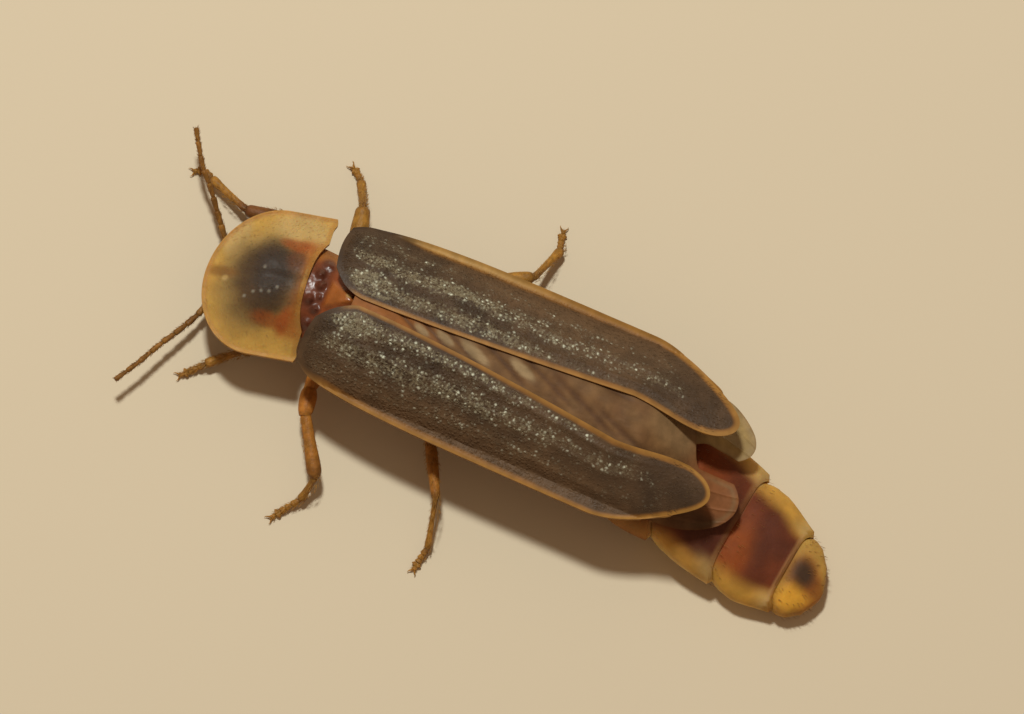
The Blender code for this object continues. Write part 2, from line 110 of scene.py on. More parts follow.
# Legs: hip on the trunk, end of the hip joint, start of the thigh, knee, ankle, foot and claws
LEGS = {
    "front_left": [(0.42, 1.86, 0.80), (0.92, 1.72, 0.52), (1.12, 1.60, 0.48), (1.58, 1.14, 0.50),
                   (2.09, 0.52, 0.24), (2.32, 0.30, 0.10), (2.52, 0.09, 0.08)],
    "front_right": [(-0.55, 1.86, 0.80), (-1.12, 1.72, 0.52), (-1.68, 1.30, 0.46), (-1.38, 0.0, 0.50),
                    (-1.80, -0.97, 0.20), (-1.92, -1.17, 0.10), (-1.82, -1.38, 0.08)],
    "middle_left": [(0.60, 2.95, 0.95), (1.90, 2.84, 0.80), (2.42, 2.98, 0.84), (3.58, 3.74, 0.66),
                    (4.05, 3.62, 0.22), (4.36, 3.37, 0.10), (4.66, 3.16, 0.08)],
    "middle_right": [(-0.60, 2.95, 0.95), (-1.15, 2.72, 0.72), (-1.35, 2.62, 0.70), (-2.42, 2.38, 0.78),
                     (-3.03, 2.11, 0.22), (-3.20, 1.96, 0.10), (-3.30, 1.80, 0.08)],
    "hind_left": [(0.60, 5.25, 0.95), (1.15, 5.42, 0.72), (1.40, 5.50, 0.72), (2.99, 6.35, 0.78),
                  (3.97, 6.60, 0.20), (4.22, 6.53, 0.10), (4.50, 6.49, 0.08)],
    "hind_right": [(-0.60, 5.25, 0.95), (-1.15, 5.42, 0.72), (-1.40, 5.50, 0.72), (-2.45, 6.46, 0.78),
                   (-3.37, 6.77, 0.20), (-3.52, 6.70, 0.10), (-3.82, 6.65, 0.08)],
}
HIP_RADIUS = 0.22
THIGH_RADIUS = 0.175
SHIN_RADIUS = 0.105
FOOT_RADIUS = 0.08

# How stout the thigh and the shin of each leg are, and how far its thigh bows
LEG_BUILD = {
    "front_left": (1.0, 1.0, (0.0, 0.0, 0.03)),
    "front_right": (1.05, 1.0, (0.0, 0.0, 0.03)),
    "middle_left": (0.95, 0.95, (0.0, 0.0, 0.03)),
    "middle_right": (1.2, 1.0, (0.0, 0.0, 0.03)),
    "hind_left": (0.76, 0.72, (0.0, 0.0, 0.03)),
    "hind_right": (1.0, 1.0, (-0.14, -0.15, 0.03)),
}

# The photograph: its width, how many millimetres one pixel covers, and the camera's lean
PHOTO_WIDTH = 1024
MM_PER_PIXEL = 15.0 / 684.0
CAMERA_LEAN = math.radians(11.0)
BODY_TURN = math.radians(2.29)
BODY_SLANT = math.atan2(0.42425, 0.90555)
VIEW_CENTRE = (-0.53, 6.67, 1.2)
LENS = 300.0
SENSOR = 36.0

# The studio: a lamp high in front of the insect on its right, a dim warm surround, a floor
LAMP_TARGET = (0.0, 7.0, 0.0)
LAMP_DIRECTION = (-0.32, -0.29, 1.0)
LAMP_DISTANCE = 150.0
LAMP_SIZE = 14.0
LAMP_WATTS = 0.178
LAMP_COLOUR = (0.95, 1.0, 0.96)
SURROUND_COLOUR = (1.0, 0.72, 0.48, 1.0)
SURROUND_STRENGTH = 0.27
FLOOR_HALF_SIZE = 400.0
FLOOR_COLOUR = (0.675, 0.561, 0.406, 1.0)
FLOOR_ROUGHNESS = 0.9

# How many hairs are tried in the coat of each wing case, the shield, the body and each limb
WING_CASE_HAIRS = 2300
SHIELD_HAIRS = 700
BODY_HAIRS = 1600
LIMB_HAIRS = 520

# Colours, linear
SHELL_BLACK = (0.042, 0.025, 0.015)
SHELL_BROWN = (0.085, 0.047, 0.024)
SHELL_TAN = (0.155, 0.085, 0.040)
# Painted sheen and glints of the wing cases, and the pale tone of hairs in the glint bands
GRAIN_SHEEN = (0.20, 0.155, 0.092, 1.0)
GLINT_DULL = (0.20, 0.165, 0.10, 1.0)
GLINT_WARM = (0.46, 0.40, 0.27, 1.0)
GLINT_PALE = (0.80, 0.80, 0.62, 1.0)
HAIR_PALE = (0.48, 0.42, 0.28)
AMBER = (0.40, 0.20, 0.045)
AMBER_DARK = (0.19, 0.075, 0.018)
CREAM = (0.56, 0.38, 0.15)
SHIELD_GOLD = (0.56, 0.33, 0.075)
SHIELD_CREAM = (0.51, 0.335, 0.125)
# grey of the painted highlight specks on the shield
GLINT_SPECK_GREY = (0.24, 0.21, 0.16)
OLIVE = (0.265, 0.170, 0.060)
BLOTCH = (0.095, 0.053, 0.024)
BLOTCH_CORE = (0.040, 0.025, 0.017)
RUST = (0.27, 0.055, 0.010)
ORANGE = (0.42, 0.15, 0.025)
DARK_RED = (0.125, 0.032, 0.014)
MAROON = (0.080, 0.024, 0.014)
BROWN_RED = (0.17, 0.045, 0.015)
GOLD = (0.60, 0.32, 0.055)
TAIL_GOLD = (0.70, 0.35, 0.04)
PALE_BAND = (0.50, 0.27, 0.10)
LANTERN = (0.66, 0.56, 0.27)
WING_BROWN = (0.225, 0.118, 0.046)
WING_DARK = (0.105, 0.042, 0.016)
WING_PALE = (0.35, 0.235, 0.120)
WING_OLIVE = (0.38, 0.25, 0.095)
WING_RUST = (0.26, 0.085, 0.030)
LEG_BROWN = (0.29, 0.128, 0.021)
LEG_AMBER = (0.43, 0.212, 0.034)
LEG_DARK = (0.070, 0.026, 0.010)
HEAD_BROWN = (0.10, 0.035, 0.014)
EYE_BLACK = (0.004, 0.003, 0.003, 1.0)
EYE_BROWN = (0.022, 0.014, 0.010, 1.0)


def frame_shift():
    """Where the insect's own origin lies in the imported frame, in metres."""
    plate_low, plate_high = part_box("mesonotum")
    case_low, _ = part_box("elytron_left")
    return Vector(((plate_low[0] + plate_high[0]) / 2.0, case_low[1] - WING_CASE_FRONT * MM, 0.0))


SHIFT = frame_shift()


def to_frame(point):
    return Vector(point) * MM + SHIFT


# Shaping helpers

def mix(start, end, share):
    return tuple(a + (b - a) * share for a, b in zip(start, end))


def ease(low, high, value):
    """0 below low, 1 above high and smooth between them."""
    t = min(max((value - low) / (high - low), 0.0), 1.0)
    return t * t * (3.0 - 2.0 * t)


def ridge(value, middle, width):
    """1 at the middle, falling off smoothly within about the given width."""
    return math.exp(-((value - middle) / width) ** 2)


def spot(x, y, centre, radii, softness):
    """1 inside an ellipse and 0 outside it, with a soft edge."""
    reach = math.hypot((x - centre[0]) / radii[0], (y - centre[1]) / radii[1])
    return 1.0 - ease(1.0 - softness, 1.0 + softness, reach)


def dab(shade, x, y, patches):
    """Lays patches over a shade: each has a colour, strength, centre, half sizes and softness."""
    for colour, strength, centre, radii, softness in patches:
        shade = mix(shade, colour, strength * spot(x, y, centre, radii, softness))
    return shade


def cloud(x, y, z, size):
    """Smooth unevenness from -1 to 1 with patches of about the given size."""
    return noise.noise(Vector((x, y, z)) / size)


def interpolate(stations, y):
    """Values at y from rows of (y, values...), smooth between the rows."""
    if y <= stations[0][0]:
        return stations[0][1:]
    for low, high in zip(stations, stations[1:]):
        if y <= high[0]:
            return mix(low[1:], high[1:], ease(low[0], high[0], y) * 0.5
                       + 0.5 * (y - low[0]) / (high[0] - low[0]))
    return stations[-1][1:]


def smooth_route(stops, steps):
    """Points on a smooth curve through the stops."""
    route = []
    last = len(stops) - 1
    for index in range(last):
        before, start = stops[max(index - 1, 0)], stops[index]
        end, after = stops[index + 1], stops[min(index + 2, last)]
        for step in range(steps):
            t = step / steps
            route.append(tuple(
                0.5 * (2.0 * q + (r - p) * t + (2.0 * p - 5.0 * q + 4.0 * r - s) * t * t
                       + (3.0 * q - p - 3.0 * r + s) * t * t * t)
                for p, q, r, s in zip(before, start, end, after)))
    route.append(tuple(stops[last]))
    return route


def point_along(path, share):
    """The point at a share of the length of a path."""
    places = [Vector(point) for point in path]
    lengths = [(end - start).length for start, end in zip(places, places[1:])]
    left = share * sum(lengths)
    for start, end, length in zip(places, places[1:], lengths):
        if left <= length:
            return start.lerp(end, left / length)
        left -= length
    return places[-1]


def round_off(a, t, roundness):
    """Bends the end of a square strip (t from 0 to 1) into a rounded end."""
    return (a * math.sqrt(1.0 - roundness * t * t / 2.0),
            t * math.sqrt(1.0 - roundness * a * a / 2.0))


def ring_loft(rings, sides):
    """A closed body through rings, each of which turns an angle into a point."""
    bm = bmesh.new()
    corner = bm.verts.layers.int.new("corner")
    bmesh.ops.create_circle(bm, cap_ends=True, segments=sides, radius=1.0)
    for index, vert in enumerate(bm.verts):
        vert[corner] = index

    def shape(face, ring):
        for vert in face.verts:
            vert.co = ring(math.tau * vert[corner] / sides)

    bm.faces.ensure_lookup_table()
    end = bm.faces[0]
    shape(end, rings[0])
    for ring in rings[1:]:
        made = bmesh.ops.extrude_face_region(bm, geom=[end, *end.edges])
        end = next(item for item in made["geom"] if isinstance(item, bmesh.types.BMFace))
        shape(end, ring)
    return bm


def limb_ring(place, side, upward):
    def point(angle):
        return place + side * math.cos(angle) + upward * math.sin(angle)

    return point


def limb(route, sides, flatness=1.0):
    """A round limb through a route of (x, y, z, radius)."""
    places = [Vector(stop[:3]) for stop in route]
    rings = []
    for index, place in enumerate(places):
        ahead = places[min(index + 1, len(places) - 1)]
        behind = places[max(index - 1, 0)]
        along = (ahead - behind).normalized()
        side = along.cross(UP).normalized()
        upward = side.cross(along) * flatness
        rings.append(limb_ring(place, side * route[index][3], upward * route[index][3]))
    return ring_loft(rings, sides)


def joint_between(start, end, radius, profile, sides, bow=(0.0, 0.0, 0.0), flatness=1.0):
    """One joint of a limb: profile gives its relative radius at shares of its length."""
    thinnest = 0.004
    start, end = Vector(start), Vector(end)
    route = []
    for share, swell in smooth_route(profile, 4):
        place = start.lerp(end, min(max(share, 0.0), 1.0)) + Vector(bow) * math.sin(math.pi * share)
        route.append((*place, max(radius * swell, thinnest)))
    return limb(route, sides, flatness)


def ball(centre, radii, segments, rings):
    bm = bmesh.new()
    bmesh.ops.create_uvsphere(bm, u_segments=segments, v_segments=rings, radius=1.0)
    bmesh.ops.scale(bm, vec=radii, verts=bm.verts[:])
    bmesh.ops.translate(bm, vec=centre, verts=bm.verts[:])
    return bm


def put_together(shapes):
    """Several closed shapes as one mesh, each overlapping the next."""
    whole = bmesh.new()
    for shape in shapes:
        bmesh.ops.recalc_face_normals(shape, faces=shape.faces[:])
        mesh = bpy.data.meshes.new("part")
        shape.to_mesh(mesh)
        shape.free()
        whole.from_mesh(mesh)
        bpy.data.meshes.remove(mesh)
    return whole


def thin_sheet(plan, height, columns, rows, thickness):
    """A thin curved shell and a search tree of the points round its edge."""
    bm = bmesh.new()
    bmesh.ops.create_grid(bm, x_segments=columns, y_segments=rows, size=1.0)
    for vert in bm.verts:
        a, b = vert.co.x, vert.co.y
        x, y = plan(a, b)
        vert.co = (x, y, height(a, x, y))
    bmesh.ops.recalc_face_normals(bm, faces=bm.faces[:])
    if sum(face.normal.z for face in bm.faces) < 0.0:
        bmesh.ops.reverse_faces(bm, faces=bm.faces[:])
    rim = [vert.co.copy() for vert in bm.verts if vert.is_boundary]
    tree = kdtree.KDTree(len(rim))
    for index, place in enumerate(rim):
        tree.insert((place.x, place.y, 0.0), index)
    tree.balance()
    row = bm.verts.layers.int.new("row")
    inward = []
    for index, vert in enumerate(bm.verts):
        vert[row] = index
        inward.append((vert.normal + UP).normalized() * -thickness)
    made = bmesh.ops.extrude_face_region(bm, geom=bm.faces[:])
    for item in made["geom"]:
        if isinstance(item, bmesh.types.BMVert):
            item.co += inward[item[row]]
    bmesh.ops.recalc_face_normals(bm, faces=bm.faces[:])
    return bm, tree


def edge_distance(tree, x, y):
    """How far a point lies from the edge of its sheet, seen from above."""
    return tree.find((x, y, 0.0))[2]


def paint(bm, rule):
    """Stores the colour that rule gives for each point."""
    layer = bm.verts.layers.float_color.new("tint")
    for vert in bm.verts:
        vert[layer] = (*rule(vert.co), 1.0)


def turn_with_head(bm):
    bmesh.ops.rotate(bm, cent=(0.0, 0.0, 0.0), matrix=Matrix.Rotation(HEAD_TURN, 3, "Z"),
                     verts=bm.verts[:])
    bmesh.ops.translate(bm, vec=HEAD_PIVOT, verts=bm.verts[:])
    return bm


def turned_with_head(point):
    return Matrix.Rotation(HEAD_TURN, 3, "Z") @ Vector(point) + HEAD_PIVOT


def add_piece(name, bm, material, nodes=(), sharp=40.0):
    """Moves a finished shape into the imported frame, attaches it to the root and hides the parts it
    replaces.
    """
    bmesh.ops.transform(bm, matrix=Matrix.Scale(MM, 4), verts=bm.verts[:])
    bmesh.ops.translate(bm, vec=SHIFT, verts=bm.verts[:])
    mesh = bpy.data.meshes.new(name)
    bm.to_mesh(mesh)
    bm.free()
    mesh.materials.append(material)
    mesh.shade_smooth()
    mesh.set_sharp_from_angle(angle=math.radians(sharp))
    piece = bpy.data.objects.new(name, mesh)
    bpy.context.scene.collection.objects.link(piece)
    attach(piece, "root")
    if nodes:
        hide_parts(*nodes)


# Finishes

def add_node(tree, kind, values=None, **settings):
    node = tree.nodes.new(kind)
    for name, value in settings.items():
        setattr(node, name, value)
    for socket, value in (values or {}).items():
        if isinstance(value, bpy.types.NodeSocket):
            tree.links.new(value, node.inputs[socket])
        else:
            node.inputs[socket].default_value = value
    return node


def start_finish(name):
    """A new material with its shader and the place on the object in millimetres."""
    material = bpy.data.materials.new(name)
    material.use_nodes = True
    tree = material.node_tree
    shader = tree.nodes["Principled BSDF"]
    place = add_node(tree, "ShaderNodeTexCoord").outputs["Object"]
    return material, tree, shader, times(tree, place, 1.0 / MM)


def times(tree, vector, factor):
    return add_node(tree, "ShaderNodeVectorMath", {0: vector, "Scale": factor},
                    operation="SCALE").outputs[0]


def noise_of(tree, place, scale, detail=3.0, roughness=0.55):
    return add_node(tree, "ShaderNodeTexNoise", {"Vector": place, "Scale": scale, "Detail": detail,
                                                 "Roughness": roughness}).outputs["Fac"]


def cells_of(tree, place, scale):
    return add_node(tree, "ShaderNodeTexVoronoi", {"Vector": place, "Scale": scale})


def painted(tree, name, output):
    """What the mesh stores under a name for each point."""
    return add_node(tree, "ShaderNodeAttribute", attribute_name=name).outputs[output]


def ranged(tree, value, low, high, to_low, to_high):
    return add_node(tree, "ShaderNodeMapRange",
                    {"Value": value, 1: low, 2: high, 3: to_low, 4: to_high},
                    interpolation_type="SMOOTHSTEP").outputs["Result"]


def maths(tree, operation, first, second=0.0, third=0.0):
    return add_node(tree, "ShaderNodeMath", {0: first, 1: second, 2: third},
                    operation=operation).outputs[0]


def mixed(tree, share, first, second):
    """A blend of two colours, each a fixed value or the output of a node."""
    return add_node(tree, "ShaderNodeMix", {0: share, 6: first, 7: second},
                    data_type="RGBA").outputs[2]


def uneven_tint(tree, place, size, depth):
    """The painted colour, lighter and darker in patches of about the given size."""
    tint = painted(tree, "tint", "Color")
    shade = ranged(tree, noise_of(tree, place, 1.0 / size, 4.0), 0.3, 0.7, 1.0 - depth, 1.0 + depth)
    return times(tree, tint, shade)


def add_bump(tree, shader, height, depth):
    """Raises the surface by up to depth millimetres where height is 1."""
    bump = add_node(tree, "ShaderNodeBump",
                    {"Height": height, "Distance": depth * MM, "Strength": 1.0})
    tree.links.new(bump.outputs["Normal"], shader.inputs["Normal"])


def add_sheen(tree, shader, unevenness, smoothest, roughest):
    """Roughness that follows an uneven pattern between two values."""
    tree.links.new(ranged(tree, unevenness, 0.3, 0.7, smoothest, roughest),
                   shader.inputs["Roughness"])


def skin_finish(name, pit, pit_depth, fold, roughness, depth, soften, coat=0.0, patch=0.5,
                shine=0.4):
    """Skin of a beetle: fine cells and soft folds over an uneven painted colour."""
    material, tree, shader, place = start_finish(name)
    colour = uneven_tint(tree, place, patch, depth)
    cells = cells_of(tree, place, 1.0 / pit).outputs["Distance"]
    folds = noise_of(tree, place, 1.0 / fold, 5.0, 0.6)
    height = maths(tree, "MULTIPLY_ADD", folds, 0.8, maths(tree, "MULTIPLY", cells, 0.6))
    add_bump(tree, shader, height, pit_depth)
    tree.links.new(colour, shader.inputs["Base Color"])
    add_sheen(tree, shader, folds, roughness - 0.08, roughness + 0.12)
    shader.inputs["Specular IOR Level"].default_value = shine
    shader.inputs["Coat Weight"].default_value = coat
    shader.inputs["Coat Roughness"].default_value = 0.15
    shader.inputs["Subsurface Weight"].default_value = soften
    shader.inputs["Subsurface Radius"].default_value = (1.0, 0.45, 0.15)
    shader.inputs["Subsurface Scale"].default_value = 0.25 * MM
    return material


# Painted glints of the wing cases: how far their cells are scattered, and for each layer its cells in a
# millimetre, the least chance that shows, and its brightest colour
GLINT_SCATTER = (0.07, 0.07, 0.07)
GLINT_LAYERS = ((21.0, 0.85, GLINT_WARM), (13.0, 0.70, GLINT_PALE))


def wing_case_finish():
    """Wing cases: raised grains with painted glints and sheen in lengthwise bands, smooth rims."""
    material, tree, shader, place = start_finish("wing_case_grain")
    colour = uneven_tint(tree, place, 0.35, 0.15)
    glint_band = painted(tree, "glint_band", "Fac")
    grain = painted(tree, "grain", "Fac")
    lumps = ranged(tree, noise_of(tree, place, 3.4, 2.0), 0.36, 0.62, 0.45, 1.0)
    wanted = maths(tree, "MULTIPLY", glint_band, lumps)
    mottle = ranged(tree, noise_of(tree, place, 15.0, 2.0, 0.5), 0.40, 0.60, 0.0, 1.0)
    # painted sheen: mid-tone grains where the glint bands lie
    painted_sheen = maths(tree, "MULTIPLY", mottle, ranged(tree, wanted, 0.05, 0.8, 0.0, 0.8))
    shade = mixed(tree, painted_sheen, colour, GRAIN_SHEEN)
    swirl = add_node(tree, "ShaderNodeTexNoise", {"Vector": place, "Scale": 14.0}).outputs["Color"]
    bent = add_node(tree, "ShaderNodeVectorMath", {0: swirl, 1: GLINT_SCATTER, 2: place},
                    operation="MULTIPLY_ADD").outputs[0]
    near = ranged(tree, wanted, 0.0, 0.4, 0.0, 1.0)
    # painted highlights: pale glints on chosen cells in the bands
    for scale, start, bright in GLINT_LAYERS:
        cells = cells_of(tree, bent, scale)
        crest = ranged(tree, cells.outputs["Distance"], 0.05, 0.62, 1.0, 0.0)
        chance = add_node(tree, "ShaderNodeSeparateColor",
                          {"Color": cells.outputs["Color"]}).outputs["Red"]
        luck = maths(tree, "MULTIPLY_ADD", wanted, 0.8, chance)
        chosen = ranged(tree, luck, start, start + 0.5, 0.0, 1.0)
        pale = mixed(tree, maths(tree, "POWER", chance, 4.0), GLINT_DULL, bright)
        glint = maths(tree, "MULTIPLY", maths(tree, "MULTIPLY", crest, chosen), near)
        shade = mixed(tree, glint, shade, pale)
    tree.links.new(shade, shader.inputs["Base Color"])
    fine = noise_of(tree, place, 30.0, 4.0, 0.6)
    # the coarser cells, which are the last layer, are the grains that stand up
    height = maths(tree, "MULTIPLY_ADD", crest, 0.8, maths(tree, "MULTIPLY", fine, 0.5))
    add_bump(tree, shader, maths(tree, "MULTIPLY", height, grain), 0.022)
    add_sheen(tree, shader, fine, 0.45, 0.65)
    shader.inputs["Specular IOR Level"].default_value = 0.2
    return material


def membrane_finish():
    """Folded flight wings: thin brown film with fine creases and little gloss."""
    material, tree, shader, place = start_finish("wing_film")
    colour = uneven_tint(tree, place, 0.3, 0.16)
    stretched = add_node(tree, "ShaderNodeMapping", {"Vector": place, "Rotation": (0.0, 0.0, 0.4),
                                                     "Scale": (5.0, 1.6, 4.0)}).outputs[0]
    creases = noise_of(tree, stretched, 1.0, 4.0, 0.5)
    add_bump(tree, shader, creases, 0.02)
    tree.links.new(colour, shader.inputs["Base Color"])
    add_sheen(tree, shader, creases, 0.5, 0.65)
    shader.inputs["Specular IOR Level"].default_value = 0.15
    shader.inputs["Alpha"].default_value = 0.85
    return material


def eye_finish():
    """Eyes: close-set facets, black and glossy with a brown depth."""
    material, tree, shader, place = start_finish("eye_facets")
    lens = ranged(tree, cells_of(tree, place, 26.0).outputs["Distance"], 0.0, 0.6, 1.0, 0.0)
    ramp = add_node(tree, "ShaderNodeValToRGB", {"Fac": lens})
    ramp.color_ramp.elements[0].color = EYE_BLACK
    ramp.color_ramp.elements[1].color = EYE_BROWN
    tree.links.new(ramp.outputs["Color"], shader.inputs["Base Color"])
    add_bump(tree, shader, lens, 0.02)
    add_sheen(tree, shader, noise_of(tree, place, 6.0), 0.12, 0.25)
    shader.inputs["Coat Weight"].default_value = 0.6
    shader.inputs["Coat Roughness"].default_value = 0.08
    return material


def hair_finish():
    """Short stiff hairs in the painted colour."""
    material, tree, shader, place = start_finish("hair")
    tree.links.new(uneven_tint(tree, place, 0.2, 0.15), shader.inputs["Base Color"])
    add_sheen(tree, shader, noise_of(tree, place, 8.0), 0.3, 0.5)
    return material


# Wing cases

# The seam edge: where the wing cases come closest, how far each is from the middle there, and how
# it parts from the middle in front (reach and power) and behind (reach, length and power)
SEAM_MEETING = 3.2
SEAM_CLOSEST = 0.08
SEAM_FRONT = {LEFT: (0.55, 1.4), RIGHT: (0.42, 1.8)}
SEAM_REAR = (0.52, 6.9, 1.45)

# Where each rib lies across a wing case, and its height
WING_CASE_RIBS = ((-0.62, 0.035), (-0.12, 0.03), (0.38, 0.025))

# The bands of painted glints: where the first lies and how far apart they are
GLINT_BAND_START, GLINT_BAND_SPACING = 0.47, 0.58
OUTER_RIM_WIDTH = {LEFT: 0.14, RIGHT: 0.20}


def back_height(x, y):
    """The top of the wing cases over a point of the floor."""
    along = min(max((y - WING_CASE_FRONT) / (WING_CASE_END - WING_CASE_FRONT), 0.0), 1.0)
    arch = ARCH_HEIGHT + (ARCH_END_HEIGHT - ARCH_HEIGHT) * along ** 3
    across = min(abs(x) / (WING_CASE_HALF_WIDTH - WING_CASE_RIM), 1.0)
    return RIM_HEIGHT + arch * (1.0 - across ** ARCH_POWER) - SHOULDER_DROOP * (1.0 - along) ** 6


def case_across(x, y):
    """Sideways distance from the line where the wing cases meet."""
    return abs(x - WING_CASE_LEAN * (y - WING_CASE_FRONT))


def wing_case_inner(side, y):
    """Distance of the inner edge from the line where the wing cases meet."""
    if y < SEAM_MEETING:
        reach, power = SEAM_FRONT[side]
        ahead = (SEAM_MEETING - y) / (SEAM_MEETING - WING_CASE_FRONT)
        return SEAM_CLOSEST + reach * ahead ** power
    reach, length, power = SEAM_REAR
    return SEAM_CLOSEST + reach * ((y - SEAM_MEETING) / length) ** power


def wing_case_outer(y):
    return WING_CASE_HALF_WIDTH - 0.42 * math.exp((WING_CASE_FRONT - y) / 1.3)


def wing_case_plan(side, a, b):
    """Turns a place in a square into a point of the wing case seen from above."""
    tip_start, shoulder_end = WING_CASE_TIP_START, WING_CASE_FRONT + 0.5
    front_share, tip_share = 0.08, 0.7
    share = (b + 1.0) / 2.0
    drift = 0.0
    if share > tip_share:
        inner, outer = wing_case_inner(side, tip_start), wing_case_outer(tip_start)
        u, w = round_off(a, (share - tip_share) / (1.0 - tip_share), 1.0)
        y = tip_start + (WING_CASE_END - tip_start) * w
        drift = WING_CASE_TIP_DRIFT * w * w * (3.0 - 2.0 * w)
    else:
        u = a
        if share < front_share:
            u, w = round_off(a, 1.0 - share / front_share, 0.6)
            y = shoulder_end + (WING_CASE_FRONT - shoulder_end) * w
        else:
            straight = (share - front_share) / (tip_share - front_share)
            y = shoulder_end + (tip_start - shoulder_end) * straight
        inner, outer = wing_case_inner(side, y), wing_case_outer(y)
    across = (inner + outer) / 2.0 - drift + u * (outer - inner) / 2.0
    return side * across + WING_CASE_LEAN * (y - WING_CASE_FRONT), y


def wing_case_height(a, x, y):
    """The back with three weak ribs, a raised seam edge and a rolled outer rim."""
    z = back_height(x, y)
    fade = ease(2.6, 3.4, y) * (1.0 - ease(9.0, 11.0, y))
    for rib, height in WING_CASE_RIBS:
        z += height * fade * ridge(a, rib, 0.07)
    z += 0.015 * ridge(a, -1.0, 0.1) * ease(2.8, 3.6, y)
    z += 0.035 * ridge(a, 1.0, 0.05)
    return z + 0.012 * cloud(x, y, 0.0, 0.8)


def wing_case_glint_band(side, x, y):
    """How thickly painted glints lie: in lengthwise bands, strongest near the seam in front."""
    across = case_across(x, y)
    along = ease(2.4, 2.9, y) * (1.0 - 0.45 * ease(5.5, 9.5, y)) * (1.0 - ease(9.8, 11.0, y))
    phase = (across - GLINT_BAND_START) / GLINT_BAND_SPACING * math.tau + 1.6 * cloud(x, y, 5.0, 1.2)
    wave = 0.5 + 0.32 * math.cos(phase)
    reach = 1.0 - ease(1.25, 1.8, across)
    # bright patches of painted glints near the seam in front, and one on the right case
    patch = 1.5 * spot(across, y, (0.45, 3.25), (0.26, 0.40), 0.5)
    if side == RIGHT:
        patch = max(patch, 1.2 * spot(across, y, (1.12, 4.9), (0.11, 0.5), 0.5))
    return min(max(along * reach * wave + patch + 0.12 * cloud(x, y, 9.0, 0.5), 0.0), 1.5)


def make_wing_case(side, label, material):
    bm, tree = thin_sheet(lambda a, b: wing_case_plan(side, a, b), wing_case_height,
                          52, 230, WING_CASE_THICKNESS)
    glint_band = bm.verts.layers.float.new("glint_band")
    grain = bm.verts.layers.float.new("grain")

    def colour(place):
        x, y = place.x, place.y
        off = edge_distance(tree, x, y)
        across = case_across(x, y)
        inner = wing_case_inner(side, min(y, WING_CASE_TIP_START))
        outward = across > (inner + wing_case_outer(y)) / 2.0
        dark = mix(SHELL_BLACK, SHELL_BROWN, 0.55 + 0.6 * cloud(x, y, 1.0, 0.45))
        flank = ease(1.05, 1.6, across) * (1.0 if side == LEFT else ease(3.5, 6.0, y))
        rear = ease(5.5, 8.0, y) * (1.0 - 0.75 * ease(8.5, 10.8, y))
        dark = mix(dark, SHELL_TAN, max(0.6 * flank * (1.0 - 0.6 * ease(8.5, 10.8, y)), 0.35 * rear))
        if outward or y > 11.0:
            front = ease(2.4, 3.2, y) if side == LEFT else ease(3.2, 4.3, y)
            width = OUTER_RIM_WIDTH[side] * (1.0 - 0.35 * ease(6.0, 10.0, y)) * (0.4 + 0.6 * front)
            if side == LEFT:
                darkness = 0.6 - 0.4 * ease(9.5, 11.0, y) + 0.2 * cloud(x, y, 2.0, 0.5)
                pale = mix(AMBER, AMBER_DARK, darkness)
            else:
                pale = mix(mix(AMBER, CREAM, 0.3), mix(AMBER, AMBER_DARK, 0.4), ease(5.0, 8.0, y))
            inside = mix(AMBER_DARK, AMBER, 0.2)
        else:
            front = ease(2.75, 3.15, y)
            width = 0.075 + 0.035 * ease(4.0, 10.0, y)
            pale = mix(AMBER, AMBER_DARK, 0.6 + 0.25 * cloud(x, y, 2.0, 0.5))
            inside = mix(pale, AMBER_DARK, 0.5)
        rim = (1.0 - ease(width * 0.8, width * 1.35, off)) * front
        shade = mix(dark, mix(pale, inside, ease(0.45, 1.0, off / width)), rim)
        return mix(shade, mix(AMBER, AMBER_DARK, 0.3), (1.0 - ease(0.02, 0.06, off)) * front * 0.6)

    paint(bm, colour)
    for vert in bm.verts:
        off = edge_distance(tree, vert.co.x, vert.co.y)
        # the glint band, where painted glints lie, kept off the rims
        vert[glint_band] = wing_case_glint_band(side, vert.co.x, vert.co.y) * ease(0.10, 0.2, off)
        vert[grain] = ease(0.08, 0.2, off) * (1.0 - 0.7 * ease(6.0, 10.0, vert.co.y))
    add_piece("wing_case_" + label, bm, material, ("elytron_" + label,))


# Flight wings

# Each film: its end, where its inner edge lies at the root, the inner and the outer edge of its
# lobe, and how far the lobe drifts inwards; then how deep it lies under the wing cases
FILM = {LEFT: (12.48, -0.78, 0.38, 1.76, 0.22), RIGHT: (12.36, -0.10, 0.22, 1.37, 0.28)}
FILM_DEPTH = {LEFT: 0.052, RIGHT: 0.10}
FILM_ROOT_OUTER = 0.75
FILM_THICKNESS = 0.03
FILM_VEINS = (-0.45, 0.1, 0.62)


def wing_plan(side, a, b):
    """A folded wing from its root to the lobe that shows behind the wing case."""
    root, tip_start, tip_share = 3.0, 11.1, 0.78
    end, lap, inner_tip, outer_tip, drift = FILM[side]
    share = (b + 1.0) / 2.0
    u, w = a, 0.0
    y = root + (tip_start - root) * share / tip_share
    if share > tip_share:
        u, w = round_off(a, (share - tip_share) / (1.0 - tip_share), 0.85 + 0.15 * a)
        y = tip_start + (end - tip_start) * w
    inner = lap + (inner_tip - lap) * ease(10.7, 11.4, y)
    outer = FILM_ROOT_OUTER + (outer_tip - FILM_ROOT_OUTER) * ease(root, 7.0, y)
    across = (inner + outer) / 2.0 - drift * w * w + u * (outer - inner) / 2.0
    return side * across - 0.07 * ease(10.5, 12.0, y), y


def wing_height(side, a, x, y):
    """Just under the wing cases, creased on the slant, sinking towards the tip."""
    z = back_height(x * (1.0 - 0.35 * ease(10.5, 11.8, y)), y) - FILM_DEPTH[side]
    z -= 0.95 * ease(9.8, 12.2, y) + 0.10 * ease(0.6, 1.3, abs(x))
    z -= 0.03 * wing_fold(x, y)
    for vein in FILM_VEINS:
        z += 0.018 * ridge(a, vein, 0.03) * ease(10.4, 11.4, y)
    return z - 0.01 * abs(cloud(x, y, 4.0, 0.5))


